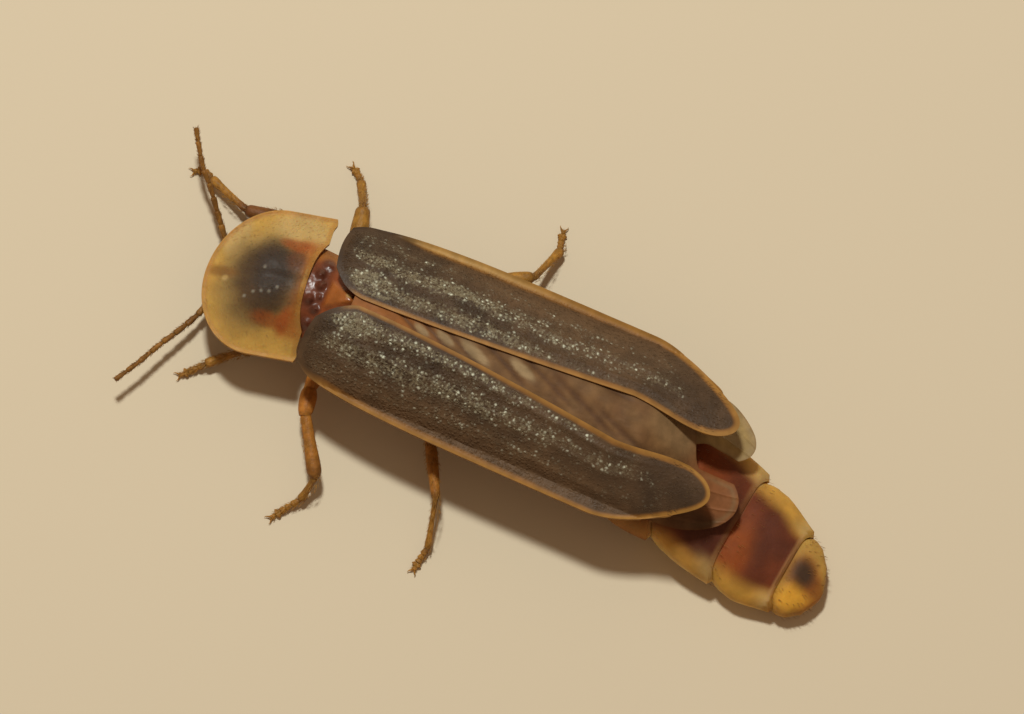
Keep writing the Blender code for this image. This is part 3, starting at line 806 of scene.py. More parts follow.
# Folds of the film in the gap: a point on each, its slant and its half width
WING_FOLDS = ((0.02, 4.32, 0.45, 0.05), (0.02, 4.90, 0.45, 0.05), (0.0, 5.46, 0.45, 0.05),
              (-0.04, 6.42, 0.45, 0.06), (-0.02, 7.50, 0.42, 0.06), (0.22, 8.62, 0.40, 0.07),
              (-0.42, 8.60, 0.12, 0.06), (0.42, 9.60, 0.36, 0.07))

# Painted reflections on the film between the folds, as pale patches: the middle and half sizes of
# each, and how they slant
FILM_SHEEN_PATCHES = ((0.05, 4.62, 0.075, 0.20), (0.02, 5.16, 0.085, 0.24),
                (0.06, 5.88, 0.11, 0.38), (0.00, 6.97, 0.11, 0.34))
SHEEN_PATCH_COSINE, SHEEN_PATCH_SINE = 0.94, 0.34


def wing_fold(x, y):
    """1 along the slanting folds between the painted pale reflections, 0 away from them."""
    deepest = 0.0
    for fold_x, fold_y, slant, width in WING_FOLDS:
        off = (x - fold_x) * math.cos(slant) - (y - fold_y) * math.sin(slant)
        along = (x - fold_x) * math.sin(slant) + (y - fold_y) * math.cos(slant)
        deepest = max(deepest, ridge(off, 0.0, width) * (1.0 - ease(0.5, 1.1, abs(along))))
    return deepest


def make_wing(side, label, material):
    bm, tree = thin_sheet(lambda a, b: wing_plan(side, a, b),
                          lambda a, x, y: wing_height(side, a, x, y), 40, 200, FILM_THICKNESS)
    root_spot = (mix(WING_BROWN, WING_PALE, 0.4), 0.7, (-0.12, 10.7), (0.35, 0.7), 0.5)
    # dark patch on the left lobe: painted shadow of the wing case's rim
    lobe_painted_shadow = (SHELL_BROWN, 0.75, (1.45, 11.7), (0.40, 0.55), 0.5)
    lobe_colour = mix(WING_BROWN, WING_RUST, 0.7) if side == LEFT else WING_OLIVE

    def colour(place):
        x, y = place.x, place.y
        off = edge_distance(tree, x, y)
        shade = mix(WING_BROWN, WING_DARK, 0.35 + 0.5 * cloud(x, y, 6.0, 0.35))
        shade = mix(shade, mix(ORANGE, RUST, 0.35), 0.7 * (1.0 - ease(4.0, 5.6, y)))
        shade = dab(shade, x, y, (root_spot,))
        # painted shade along the folds
        shade = mix(shade, mix(WING_DARK, SHELL_BROWN, 0.3), 0.85 * wing_fold(x, y))
        # painted reflections: pale patches between the folds
        for middle_x, middle_y, *half_sizes in FILM_SHEEN_PATCHES:
            along = SHEEN_PATCH_COSINE * (y - middle_y) + SHEEN_PATCH_SINE * (x - middle_x)
            across = SHEEN_PATCH_COSINE * (x - middle_x) - SHEEN_PATCH_SINE * (y - middle_y)
            shade = mix(shade, WING_PALE, 0.9 * spot(across, along, (0.0, 0.0), half_sizes, 0.3))
        if y > 10.6:
            shade = mix(shade, lobe_colour, ease(10.9, 11.5, y))
            if side == LEFT:
                line = ridge(off, 0.10, 0.045) * ease(11.3, 11.9, y)
                shade = mix(shade, mix(WING_BROWN, WING_PALE, 0.3), 0.6 * line)
                shade = dab(shade, x, y, (lobe_painted_shadow,))
            else:
                shade = mix(shade, WING_PALE, 0.5 * (1.0 - ease(0.05, 0.2, off)) * ease(11.0, 11.8, y))
        return mix(shade, AMBER_DARK, 0.4 * (1.0 - ease(0.0, 0.04, off)))

    paint(bm, colour)
    add_piece("flight_wing_" + label, bm, material, ("hindwing_" + label,))


# Shield

# Patches on the shield, each with its colour, strength, centre, half sizes and softness
CREAMY_PATCHES = ((SHIELD_CREAM, 0.9, (-1.10, -0.62), (0.46, 0.66), 0.35),
                  (SHIELD_CREAM, 0.9, (-0.68, -1.98), (0.55, 0.28), 0.35))
BLOTCH_PATCHES = ((BLOTCH, 0.96, (0.22, -1.07), (0.90, 0.70), 0.3),
                  (BLOTCH_CORE, 0.95, (0.02, -1.02), (0.66, 0.50), 0.6))
RED_CORNER = (mix(BLOTCH, DARK_RED, 0.6), 0.85, (-0.40, -0.58), (0.27, 0.20), 0.5)
FLANK_RUST = mix(RUST, ORANGE, 0.15)
RUSTY_PATCHES = ((FLANK_RUST, 0.85, (-0.73, -0.64), (0.15, 0.33), 0.5),
                 (FLANK_RUST, 0.75, (1.02, -0.80), (0.15, 0.40), 0.5),
                 (FLANK_RUST, 0.85, (0.96, -0.46), (0.26, 0.17), 0.5))
# Grey specks on the disc: painted highlights
SHIELD_GLINT_SPECKS = tuple((GLINT_SPECK_GREY, 0.8, centre, (0.035, 0.035), 0.5) for centre in (
    (0.69, -1.44), (0.56, -1.28), (0.47, -0.95), (0.33, -0.81), (0.50, -1.12), (-0.03, -1.20)))
SHIELD_MARKS = ((AMBER_DARK, 0.65, (0.23, -2.10), (0.12, 0.36), 0.5),
                (CREAM, 0.6, (0.37, -1.96), (0.06, 0.06), 0.5),
                (CREAM, 0.6, (0.0, -0.29), (0.27, 0.035), 0.5))


def shield_plan(a, b):
    """A skewed half-round outline with a notch in the middle of its hind edge."""
    straight_share = 0.4
    share = (b + 1.0) / 2.0
    if share < straight_share:
        notch = SHIELD_HIND_NOTCH * (1.0 - min(abs(a) / SHIELD_NOTCH_WIDTH, 1.0) ** 3)
        notch -= 0.05 * ridge(abs(a), 0.93, 0.06)
        u = a
        y = -notch + (notch - SHIELD_STRAIGHT) * share / straight_share
    else:
        u, w = round_off(a, (share - straight_share) / (1.0 - straight_share), 1.0)
        y = -SHIELD_STRAIGHT - w * (SHIELD_LENGTH - SHIELD_STRAIGHT)
    return u * SHIELD_HALF_WIDTH - SHIELD_SKEW * y, y


def shield_height(_, x, y):
    """A dome over the head between flat margins with a rolled rim."""
    rim = SHIELD_HIND_HEIGHT - (SHIELD_FRONT_HEIGHT - SHIELD_HIND_HEIGHT) * y / SHIELD_LENGTH
    forward = max(-y - SHIELD_STRAIGHT, 0.0) / (SHIELD_LENGTH - SHIELD_STRAIGHT)
    backward = max(y + SHIELD_STRAIGHT, 0.0) / SHIELD_STRAIGHT
    middle = x + SHIELD_SKEW * y
    across = middle / SHIELD_HALF_WIDTH
    spread = max(1.0 - across * across - forward * forward, 0.0)
    z = rim + SHIELD_DOME * spread ** 1.5 * (1.0 - 0.15 * backward ** 2)
    z -= 0.03 * ridge(middle, 0.0, 0.12) * spread
    for boss in (-0.5, 0.5):
        z += 0.05 * spot(middle, y, (boss, -1.15), (0.35, 0.45), 0.8)
    z += 0.05 * ridge(y, -0.36, 0.12) * (1.0 - across * across)
    edge = max(abs(across), math.sqrt(min(across * across + forward * forward, 1.0)))
    return z + 0.04 * ridge(edge, 1.0, 0.035) + 0.008 * cloud(x, y, 0.0, 0.35)


def shield_colour(x, y, off):
    """Golden flat margins, creamy on the right behind, and a soft dark blotch with rusty flanks."""
    wobbly = y + 0.10 * cloud(x, y, 0.0, 0.4)
    shade = mix(SHIELD_GOLD, AMBER, 0.2 + 0.4 * cloud(x, y, 7.0, 0.6))
    # painted light: the left margin, which faces away from the lamp, is lightened
    shade = mix(shade, SHIELD_GOLD, 0.5 * ease(0.5, 1.5, x))
    shade = dab(shade, x, y, CREAMY_PATCHES)
    ring = spot(x, wobbly, (0.26, -1.34), (1.12, 0.78), 0.3) * (1.0 - ease(-0.95, -0.6, y))
    shade = mix(shade, OLIVE, 0.85 * ring)
    hind = ease(-0.66, -0.42, y) * (1.0 - ease(0.95, 1.25, abs(x - 0.15)))
    shade = mix(shade, mix(ORANGE, RUST, 0.55), 0.8 * hind)
    shade = dab(shade, x, wobbly, BLOTCH_PATCHES)
    shade = dab(shade, x, y, (RED_CORNER,))
    shade = dab(shade, x, wobbly, RUSTY_PATCHES)
    shade = dab(shade, x, y, SHIELD_GLINT_SPECKS + SHIELD_MARKS)
    rim = 1.0 - ease(0.06, 0.15, off)
    return mix(shade, mix(AMBER, ORANGE, 0.25), 0.65 * rim)


def make_shield(material):
    bm, tree = thin_sheet(shield_plan, shield_height, 110, 100, SHIELD_THICKNESS)
    paint(bm, lambda place: shield_colour(place.x, place.y, edge_distance(tree, place.x, place.y)))
    add_piece("shield", turn_with_head(bm), material, ("pronotum",))


# Body

# The end of the trunk and of each ring of the abdomen behind it
SEGMENT_ENDS = (6.0, 7.15, 8.05, 8.95, 9.85, 10.96, 12.6, 14.03, 15.0)

# Half width, top and bottom of the body along its length
BODY_STATIONS = ((1.12, 0.30, 1.20, 0.86), (1.45, 0.58, 1.46, 0.62), (1.95, 0.72, 1.55, 0.60),
                 (2.25, 0.78, 1.70, 0.72), (2.6, 1.15, 1.98, 0.88), (3.2, 1.32, 2.32, 0.88),
                 (4.2, 1.38, 2.36, 0.88), (5.0, 1.40, 2.05, 0.88), (5.9, 1.36, 1.80, 0.84),
                 (7.0, 1.48, 1.72, 0.36), (8.5, 1.56, 1.80, 0.26), (10.0, 1.53, 1.86, 0.20),
                 (11.2, 1.38, 1.82, 0.13), (12.0, 1.37, 1.52, 0.10), (12.6, 1.34, 1.28, 0.08),
                 (13.3, 1.25, 1.10, 0.06), (13.95, 0.98, 0.96, 0.02), (14.25, 0.97, 0.90, 0.03),
                 (14.48, 0.91, 0.82, 0.05), (14.76, 0.66, 0.72, 0.10), (14.91, 0.36, 0.62, 0.16),
                 (14.98, 0.14, 0.52, 0.24))
BODY_FRONT, BODY_TIP = BODY_STATIONS[0][0], BODY_STATIONS[-1][0]
BODY_FLOOR_GAP = 0.005

# Rows of points: how many down the trunk and how far apart, and their shares of a ring's length
TRUNK_ROWS, TRUNK_ROW_STEP = 81, 0.06
RING_ROWS = (0.0, 0.03, 0.08, 0.14, 0.22, 0.3, 0.4, 0.5, 0.6, 0.7, 0.78, 0.85, 0.91, 0.955, 0.985,
             1.0)

# Half width of the dark plate on each ring in front of the tail, by the ring's number
PLATE_HALF_WIDTHS = (0.80, 0.80, 0.80, 0.80, 0.88, 0.92, 0.79)
FRONT_LANTERN_RING, REAR_LANTERN_RING, TAIL_RING = 5, 6, 7

# Patches on the last rings, placed across the ring from -1 to 1 and along it from 0 to 1
RING_PATCHES = {
    FRONT_LANTERN_RING: ((MAROON, 0.8, (0.2, 0.7), (0.8, 0.36), 0.4),
                         (mix(RUST, BROWN_RED, 0.4), 0.9, (-0.25, 0.2), (0.55, 0.45), 0.5)),
    REAR_LANTERN_RING: ((mix(RUST, ORANGE, 0.15), 0.7, (0.35, 0.2), (0.55, 0.24), 0.5),
                        (MAROON, 0.7, (-0.25, 0.62), (0.42, 0.38), 0.7)),
    TAIL_RING: ((mix(ORANGE, AMBER_DARK, 0.3), 0.8, (0.2, 0.85), (0.7, 0.35), 0.4),
                (mix(AMBER_DARK, RUST, 0.4), 0.85, (-0.05, 0.42), (0.50, 0.42), 0.45),
                (BLOTCH_CORE, 0.9, (-0.10, 0.38), (0.30, 0.28), 0.55),
                (TAIL_GOLD, 0.9, (0.56, 0.40), (0.30, 0.36), 0.6)),
}


def bend(y):
    """How far the middle of the abdomen lies to the left at y."""
    past = y - BEND_START
    return BEND_SLOPE * (past + math.hypot(past, BEND_SOFTNESS)) / 2.0 - 0.08 * ease(10.0, 12.0, y)


def ring_turn(y):
    """The angle by which the rings of the abdomen are turned, half as much as its axis."""
    past = y - BEND_START
    return 0.5 * math.atan(BEND_SLOPE * (1.0 + past / math.hypot(past, BEND_SOFTNESS)) / 2.0)


def segment_of(y):
    """Which abdominal ring y lies in, and how far along it."""
    for index, (start, end) in enumerate(zip(SEGMENT_ENDS, SEGMENT_ENDS[1:])):
        if y <= end:
            return index, (y - start) / (end - start)
    return len(SEGMENT_ENDS) - 2, 1.0


def body_point(y, angle, lip=0.0, drawn_back=0.0):
    """A point of the body's surface.  lip lowers it under the ring in front."""
    half_width, top, bottom = interpolate(BODY_STATIONS, y)
    across = math.copysign(abs(math.cos(angle)) ** 0.82, math.cos(angle))
    upward = math.copysign(abs(math.sin(angle)) ** 0.88, math.sin(angle))
    side_share = abs(math.cos(angle)) ** 6
    middle = (top + bottom) / 2.0 - 0.06
    reach = half_width - lip * (0.4 + 0.6 * side_share)
    rise = (top - middle if upward > 0.0 else middle - bottom) - lip * 0.55
    turn = ring_turn(y)
    sideways = Vector((math.cos(turn), -math.sin(turn), 0.0))
    backward = Vector((math.sin(turn), math.cos(turn), 0.0))
    place = Vector((bend(y), y, middle)) + sideways * reach * across + UP * rise * upward
    return place + backward * drawn_back * side_share


def body_rings():
    """Rings down the body, with each abdominal plate lapping over the one behind it."""
    rows = []
    for step in range(TRUNK_ROWS):
        y = BODY_FRONT + TRUNK_ROW_STEP * step
        rows.append((y, 0.10 * ridge(y, 2.15, 0.07) + 0.05 * ridge(y, 4.55, 0.05), 0.0))
    for start, end in zip(SEGMENT_ENDS, SEGMENT_ENDS[1:]):
        last = end == SEGMENT_ENDS[-1]
        for share in RING_ROWS:
            y = min(start + (end - start) * share, BODY_TIP)
            flare = 0.0 if last else 0.10 * math.sin(math.pi * min(share / 1.4, 1.0)) ** 1.5
            step_down = 0.0 if last else 0.12 * ease(0.96, 1.0, share)
            front = 0.12 * (1.0 - ease(0.0, 0.3, share)) + 0.02
            back = 0.0 if last else 0.20 * ease(0.5, 0.96, share)
            rows.append((y, front - flare + step_down, back))
    rings = []
    for y, lip, back in rows:
        rings.append(lambda angle, y=y, lip=lip, back=back: body_point(y, angle, lip, back))
    return rings


def body_colour(place):
    """Rusty trunk, dark red plates with golden sides, pale hind bands and a pale lantern."""
    y = place.y
    turn = ring_turn(y)
    # the slanting rings make y run ahead on one side, so it is taken back onto the middle line
    y_ring = y + (place.x - bend(y)) * math.tan(turn)
    half_width, top, bottom = interpolate(BODY_STATIONS, y_ring)
    u = (place.x - bend(y_ring)) / math.cos(turn) / max(half_width, 0.05)
    y_ring -= 0.2 * abs(u) ** 6 * ease(6.0, 6.5, y_ring) * (1.0 - ease(13.6, 14.1, y_ring))
    uneven = cloud(place.x, y, place.z, 0.4)
    above = ease(-0.1, 0.25, (place.z - (top + bottom) / 2.0 + 0.06) / (top - bottom))
    if y_ring < SEGMENT_ENDS[0]:
        shade = mix(BROWN_RED, ORANGE, 0.35 + 0.35 * uneven)
        shade = mix(shade, LEG_DARK, 0.5 * above * ease(2.3, 3.0, y_ring))
        return mix(shade, RUST, 0.5 * spot(place.x, y_ring, (0.0, 3.9), (0.6, 0.9), 0.6))
    index, along = segment_of(y_ring)
    patches = RING_PATCHES.get(index, ())
    if index == TAIL_RING:
        upper = dab(mix(mix(GOLD, OLIVE, 0.45), AMBER, ease(-0.5, 0.6, u)), u, along, patches)
        return mix(mix(AMBER, GOLD, 0.5), upper, above)
    plate_half = PLATE_HALF_WIDTHS[index]
    plate = 1.0 - ease(plate_half - 0.24, plate_half + 0.12, abs(u - 0.03) + 0.06 * uneven)
    sides = mix(GOLD, AMBER, 0.3 + 0.5 * uneven)
    # painted shade: the golden sides of the rings in front of the lantern, which lie under the wing
    # cases, are darkened towards brown-red
    if index < FRONT_LANTERN_RING:
        sides = mix(sides, BROWN_RED, 0.6)
    red = dab(mix(DARK_RED, RUST, 0.2 + 0.25 * uneven), u, along, patches)
    upper = mix(sides, red, plate)
    strength = (0.6 if index == REAR_LANTERN_RING else 0.2) + 0.35 * ease(0.3, 0.75, abs(u))
    upper = mix(upper, PALE_BAND, 0.85 * (ease(0.91, 0.97, along) * strength))
    lower = mix(BROWN_RED, AMBER, 0.3 + 0.4 * uneven)
    if index >= FRONT_LANTERN_RING:
        upper = mix(upper, CREAM, 0.6 * ease(0.6, 0.95, along) * ease(0.62, 0.9, abs(u)))
        lower = mix(LANTERN, GOLD, 0.15 + 0.2 * uneven + 0.5 * ease(0.6, 0.95, abs(u)))
    return mix(lower, upper, above)


# The neck behind the shield: its front, length and thickness, its knobs (place, size and height)
# and the three-cornered plate
NECK_FRONT, NECK_LENGTH, NECK_THICKNESS = 1.92, 1.2, 0.1
NECK_KNOBS = ((-0.36, 2.12, 0.14, 0.12), (-0.12, 2.23, 0.14, 0.14), (0.24, 2.10, 0.14, 0.12),
              (0.40, 2.30, 0.12, 0.10), (0.12, 2.28, 0.10, 0.07), (-0.64, 2.22, 0.16, 0.08),
              (0.74, 2.24, 0.16, 0.08))
PLATE_FRONT, PLATE_TIP, PLATE_HALF_WIDTH = 2.40, 3.06, 0.32


def neck_plan(a, b):
    t = (b + 1.0) / 2.0
    return a * (1.02 - 0.30 * ease(0.3, 0.75, t) - 0.22 * t * t), NECK_FRONT + NECK_LENGTH * t


def neck_height(_, x, y):
    """A low saddle behind the shield with glossy knobs and a three-cornered plate."""
    z = 2.30 - 0.50 * x * x + 0.40 * ease(2.2, 2.95, y)
    for knob_x, knob_y, size, height in NECK_KNOBS:
        z += height * math.exp(-((x - knob_x) ** 2 + (y - knob_y) ** 2) / (size * 0.62) ** 2)
    return z + 0.07 * neck_plate_share(x, y) + 0.01 * cloud(x, y, 0.0, 0.15)


def neck_plate_share(x, y):
    """1 on the three-cornered plate between the wing cases, 0 beside it."""
    half = PLATE_HALF_WIDTH * (PLATE_TIP - y) / (PLATE_TIP - PLATE_FRONT)
    return ease(-0.09, 0.08, half - abs(x)) * ease(PLATE_FRONT - 0.04, PLATE_FRONT + 0.10, y)


def neck_plate_colour(place):
    """Dark red knobs on red-brown skin, and an orange-brown plate with a pale tip, partly a painted
    glint.
    """
    x, y = place.x, place.y
    shade = mix(BROWN_RED, RUST, 0.3 + 0.6 * cloud(*place, 0.25))
    shade = mix(shade, mix(ORANGE, AMBER_DARK, 0.4), 0.7 * ease(-0.55, -0.8, x))
    shade = mix(shade, DARK_RED, 0.8 * spot(x, y, (-0.05, 2.18), (0.62, 0.24), 0.4))
    for knob_x, knob_y, size, _ in NECK_KNOBS:
        knob = spot(x, y, (knob_x, knob_y), (size, size), 0.4)
        shade = mix(shade, mix(DARK_RED, MAROON, 0.6), 0.9 * knob)
    shade = mix(shade, mix(RUST, ORANGE, 0.5), 0.85 * neck_plate_share(x, y))
    # the pale tip of the plate: partly its own colour and partly a painted glint
    return mix(shade, CREAM, 0.6 * spot(x, y, (-0.08, 2.87), (0.05, 0.06), 0.6))


# The underside of the head, from the middle of the snout: one jaw with its radius at each point,
# one mouth feeler, and the radius of each joint of that feeler and its shape
JAW = ((0.15, -0.08, -0.06, 0.055), (0.16, -0.20, -0.07, 0.05), (0.10, -0.30, -0.08, 0.035),
       (0.0, -0.35, -0.08, 0.02), (-0.06, -0.35, -0.08, 0.008))
MOUTH_FEELER = ((0.13, -0.05, -0.12), (0.20, -0.16, -0.16), (0.23, -0.26, -0.17),
                (0.22, -0.37, -0.15))
MOUTH_FEELER_RADII = (0.034, 0.036, 0.044)
MOUTH_FEELER_SHAPE = ((0.0, 0.5), (0.2, 0.9), (0.8, 1.0), (1.0, 0.4))


def head_capsule():
    """An oval head with two brow ridges and a dent between them."""
    capsule = ball(Vector((0.0, 0.0, 0.0)), Vector((1.0, 1.0, 1.0)), 48, 32)
    for vert in capsule.verts:
        x, y, z = vert.co
        brow = (0.10 * spot(x, z, (0.28, 0.42), (0.22, 0.2), 0.7)
                + 0.10 * spot(x, z, (-0.28, 0.42), (0.22, 0.2), 0.7))
        dent = 0.10 * spot(x, z, (0.0, 0.35), (0.18, 0.35), 0.8)
        if y < 0.0:
            vert.co *= 1.0 + brow - dent
        vert.co = Vector(c * r for c, r in zip(vert.co, HEAD_RADII)) + HEAD_CENTRE
    return capsule


def make_head_shape():
    """Head capsule with snout, lip, neck, crossed jaws, mouth feelers and feeler sockets."""
    snout = HEAD_CENTRE + Vector((0.0, -0.34, -0.24))
    shapes = [head_capsule(), ball(snout, Vector((0.24, 0.20, 0.18)), 32, 20)]
    shapes.append(ball(snout + Vector((0.0, -0.15, 0.02)), Vector((0.15, 0.10, 0.05)), 24, 12))
    neck = [(*(HEAD_CENTRE + Vector(offset)), radius)
            for offset, radius in (((0.0, 0.2, 0.05), 0.42), ((0.0, 0.62, 0.1), 0.4))]
    shapes.append(limb(neck, 28))
    for side in (LEFT, RIGHT):
        jaw = [(*(snout + Vector((side * x, y, z - 0.01 * side))), radius) for x, y, z, radius in JAW]
        shapes.append(limb(smooth_route(jaw, 3), 10))
        stops = [snout + Vector((side * x, y, z)) for x, y, z in MOUTH_FEELER]
        for start, end, size in zip(stops, stops[1:], MOUTH_FEELER_RADII):
            shapes.append(joint_between(start, end, size, MOUTH_FEELER_SHAPE, 10))
        socket = HEAD_CENTRE + Vector((side * 0.14, -0.40, 0.1))
        shapes.append(ball(socket, Vector((0.085, 0.075, 0.085)), 20, 12))
    return turn_with_head(put_together(shapes))


def make_eye(side, label, material):
    """A domed eye set into the side of the head, slightly uneven in height."""
    centre = HEAD_CENTRE + Vector((side * EYE_OFFSET.x, EYE_OFFSET.y, EYE_OFFSET.z))
    eye = ball(centre, Vector((EYE_RADIUS * 0.92, EYE_RADIUS, EYE_RADIUS)), 56, 40)
    for vert in eye.verts:
        vert.co.z = centre.z + (vert.co.z - centre.z) * (1.0 + 0.06 * math.sin(6.0 * vert.co.y))
    add_piece("eye_dome_" + label, turn_with_head(eye), material, ("eye_" + label,))


def make_body(skin, head_skin, knob_skin):
    body = ring_loft(body_rings(), 84)
    for vert in body.verts:
        vert.co.z = max(vert.co.z, BODY_FLOOR_GAP)
    bmesh.ops.recalc_face_normals(body, faces=body.faces[:])
    paint(body, body_colour)
    add_piece("body_skin", body, skin,
              ("prothorax", "thorax", "abdomen", "lantern_front", "lantern_rear", "tail_tip"))
    plate, _ = thin_sheet(neck_plan, neck_height, 60, 60, NECK_THICKNESS)
    paint(plate, neck_plate_colour)
    add_piece("neck_plate", plate, knob_skin, ("mesonotum",))
    head = make_head_shape()
    centre = turned_with_head(HEAD_CENTRE)

    def head_colour(place):
        shade = mix(HEAD_BROWN, LEG_DARK, 0.5 + 0.5 * cloud(*place, 0.3))
        return mix(shade, LEG_AMBER, 0.6 * ease(centre.y - 0.45, centre.y - 0.75, place.y))

    paint(head, head_colour)
    add_piece("head_skin", head, head_skin, ("head",))


# Limbs

# Relative radius of each kind of joint at shares of its length
HIP_SHAPE = ((0.0, 0.75), (0.25, 1.0), (0.7, 0.85), (1.0, 0.5))
COLLAR_SHAPE = ((0.0, 0.6), (0.3, 0.95), (0.75, 0.88), (1.0, 0.6))
THIGH_SHAPE = ((0.0, 0.45), (0.12, 0.72), (0.45, 1.0), (0.8, 0.85), (0.94, 0.74), (1.0, 0.35))
CLUB_SHAPE = ((0.0, 0.6), (0.12, 0.75), (0.45, 0.8), (0.8, 1.0), (0.93, 0.88), (1.0, 0.4))
SHIN_SHAPE = ((0.0, 0.5), (0.06, 0.8), (0.3, 0.72), (0.7, 0.85), (0.93, 1.05), (1.0, 0.5))
TOE_SHAPE = ((0.0, 0.35), (0.15, 0.6), (0.75, 1.0), (0.95, 0.95), (1.0, 0.5))

# The toe joints: each one's share of the foot and relative radius (the lobes have their own), and
# which of them has two lobes and which has the claws
TOE_SHARES = (0.30, 0.20, 0.16, 0.12, 0.22)
TOE_SIZES = (0.95, 0.95, 1.0, None, 0.62)
LOBED_TOE, CLAWED_TOE = 3, 4
LOBE_SIZE = 0.85
CLAW_RADIUS = 0.022


def make_claw(end, along, sideways):
    """A hooked claw that swings out sideways from the last toe joint."""
    claw = []
    for step in range(6):
        t = step / 5.0
        out = along * (0.11 * t) + sideways * (0.02 + 0.07 * math.sin(t * 1.9))
        claw.append((*(end + out - UP * 0.035 * t * t), CLAW_RADIUS * (1.0 - 0.85 * t)))
    return limb(claw, 8)


def make_foot(ankle, middle, tip):
    """Five toe joints, the fourth with two lobes, and a pair of curved claws."""
    path = smooth_route([ankle, middle, tip], 6)
    shapes = []
    done = 0.0
    for number, (share, size) in enumerate(zip(TOE_SHARES, TOE_SIZES)):
        start, end = point_along(path, done), point_along(path, done + share * 1.08)
        along = (end - start).normalized()
        sideways = along.cross(UP).normalized()
        if number == LOBED_TOE:
            for side in (LEFT, RIGHT):
                reach = end + sideways * side * 0.055 + along * 0.03
                shapes.append(joint_between(start, reach, FOOT_RADIUS * LOBE_SIZE, TOE_SHAPE, 10,
                                            flatness=0.7))
        else:
            shapes.append(joint_between(start, end, FOOT_RADIUS * size, TOE_SHAPE, 12,
                                        flatness=0.8))
        if number == CLAWED_TOE:
            shapes += [make_claw(end, along, sideways * side) for side in (LEFT, RIGHT)]
        done += share
    return shapes


def make_leg(label, stops, material):
    hip, collar, thigh, knee, ankle, foot, tip = (Vector(stop) for stop in stops)
    thigh_build, shin_build, bow = LEG_BUILD[label]
    thigh_shape = CLUB_SHAPE if label == "middle_left" else THIGH_SHAPE
    shapes = [joint_between(hip, collar, HIP_RADIUS, HIP_SHAPE, 20),
              joint_between(collar.lerp(hip, 0.12), thigh, HIP_RADIUS * 0.9, COLLAR_SHAPE, 18),
              joint_between(thigh.lerp(collar, 0.2), knee, THIGH_RADIUS * thigh_build, thigh_shape,
                            20, bow),
              joint_between(knee.lerp(thigh, 0.03), ankle, SHIN_RADIUS * shin_build, SHIN_SHAPE, 16)]
    shapes += make_foot(ankle.lerp(knee, 0.04), foot, tip)
    leg = put_together(shapes)
    dark_reach = 0.7 if label == "middle_left" else 0.3
    dark_thigh = (mix(BROWN_RED, LEG_DARK, 0.5), 0.8, (-1.45, 0.6), (0.4, 0.8), 0.3)

    def colour(place):
        to_knee, to_ankle = (place - knee).length, (place - ankle).length
        to_hip, to_claws = (place - collar).length, (place - tip).length
        shade = mix(LEG_BROWN, LEG_AMBER, 0.35 + 0.45 * cloud(*place, 0.18))
        # painted shade: the thighs of the two left legs, which lie in shade, are painted rusty red
        if label in ("middle_left", "hind_left"):
            past_knee = (place - knee).dot((knee - thigh).normalized())
            shade = mix(shade, mix(RUST, LEG_AMBER, 0.4), 0.65 * (1.0 - ease(-0.2, 0.05, past_knee)))
        shade = mix(shade, ORANGE, 0.85 * (1.0 - ease(0.25, 0.75, to_hip)))
        shade = mix(shade, LEG_DARK, 0.5 * (1.0 - ease(0.1, dark_reach, to_knee)))
        if label == "front_right":
            shade = dab(shade, place.x, place.y, (dark_thigh,))
        shade = mix(shade, LEG_BROWN, 0.6 * (1.0 - ease(0.3, 0.8, to_claws)))
        return mix(shade, LEG_DARK, 0.5 * (1.0 - ease(0.05, 0.2, to_ankle)))

    paint(leg, colour)
    for vert in leg.verts:
        vert.co.z = max(vert.co.z, 0.0)
    add_piece("jointed_leg_" + label, leg, material, ("leg_" + label,))


def feeler_radius(share):
    return FEELER_RADIUS - FEELER_TAPER * share


def make_feeler(label, points, material):
    """Eleven joints: a stout first one, a short second and nine long ones, each wider at its end."""
    path = smooth_route(points, 8)
    whole = sum(FEELER_JOINTS)
    shapes = []
    done = 0.0
    for number, share in enumerate(FEELER_JOINTS):
        start = point_along(path, done / whole)
        end = point_along(path, min((done + share * 1.03) / whole, 1.0))
        size = feeler_radius(done / whole) * (1.3 if number == 0 else 1.0)
        last = number == len(FEELER_JOINTS) - 1
        shape = ((0.0, 0.45), (0.12, 0.75), (0.8, 1.0), (0.95, 0.85), (1.0, 0.2 if last else 0.45))
        shapes.append(joint_between(start, end, size, shape, 14))
        done += share
    feeler = put_together(shapes)

    def colour(place):
        return mix(LEG_BROWN, LEG_DARK, 0.32 + 0.45 * cloud(*place, 0.25))

    paint(feeler, colour)
    add_piece("feeler_" + label, feeler, material, ("antenna_" + label,))


# Hairs

# How much of the skin's map one hair covers, and how many hairs are gathered at a time
HAIR_PATCH = 0.003
HAIR_BATCH = 300


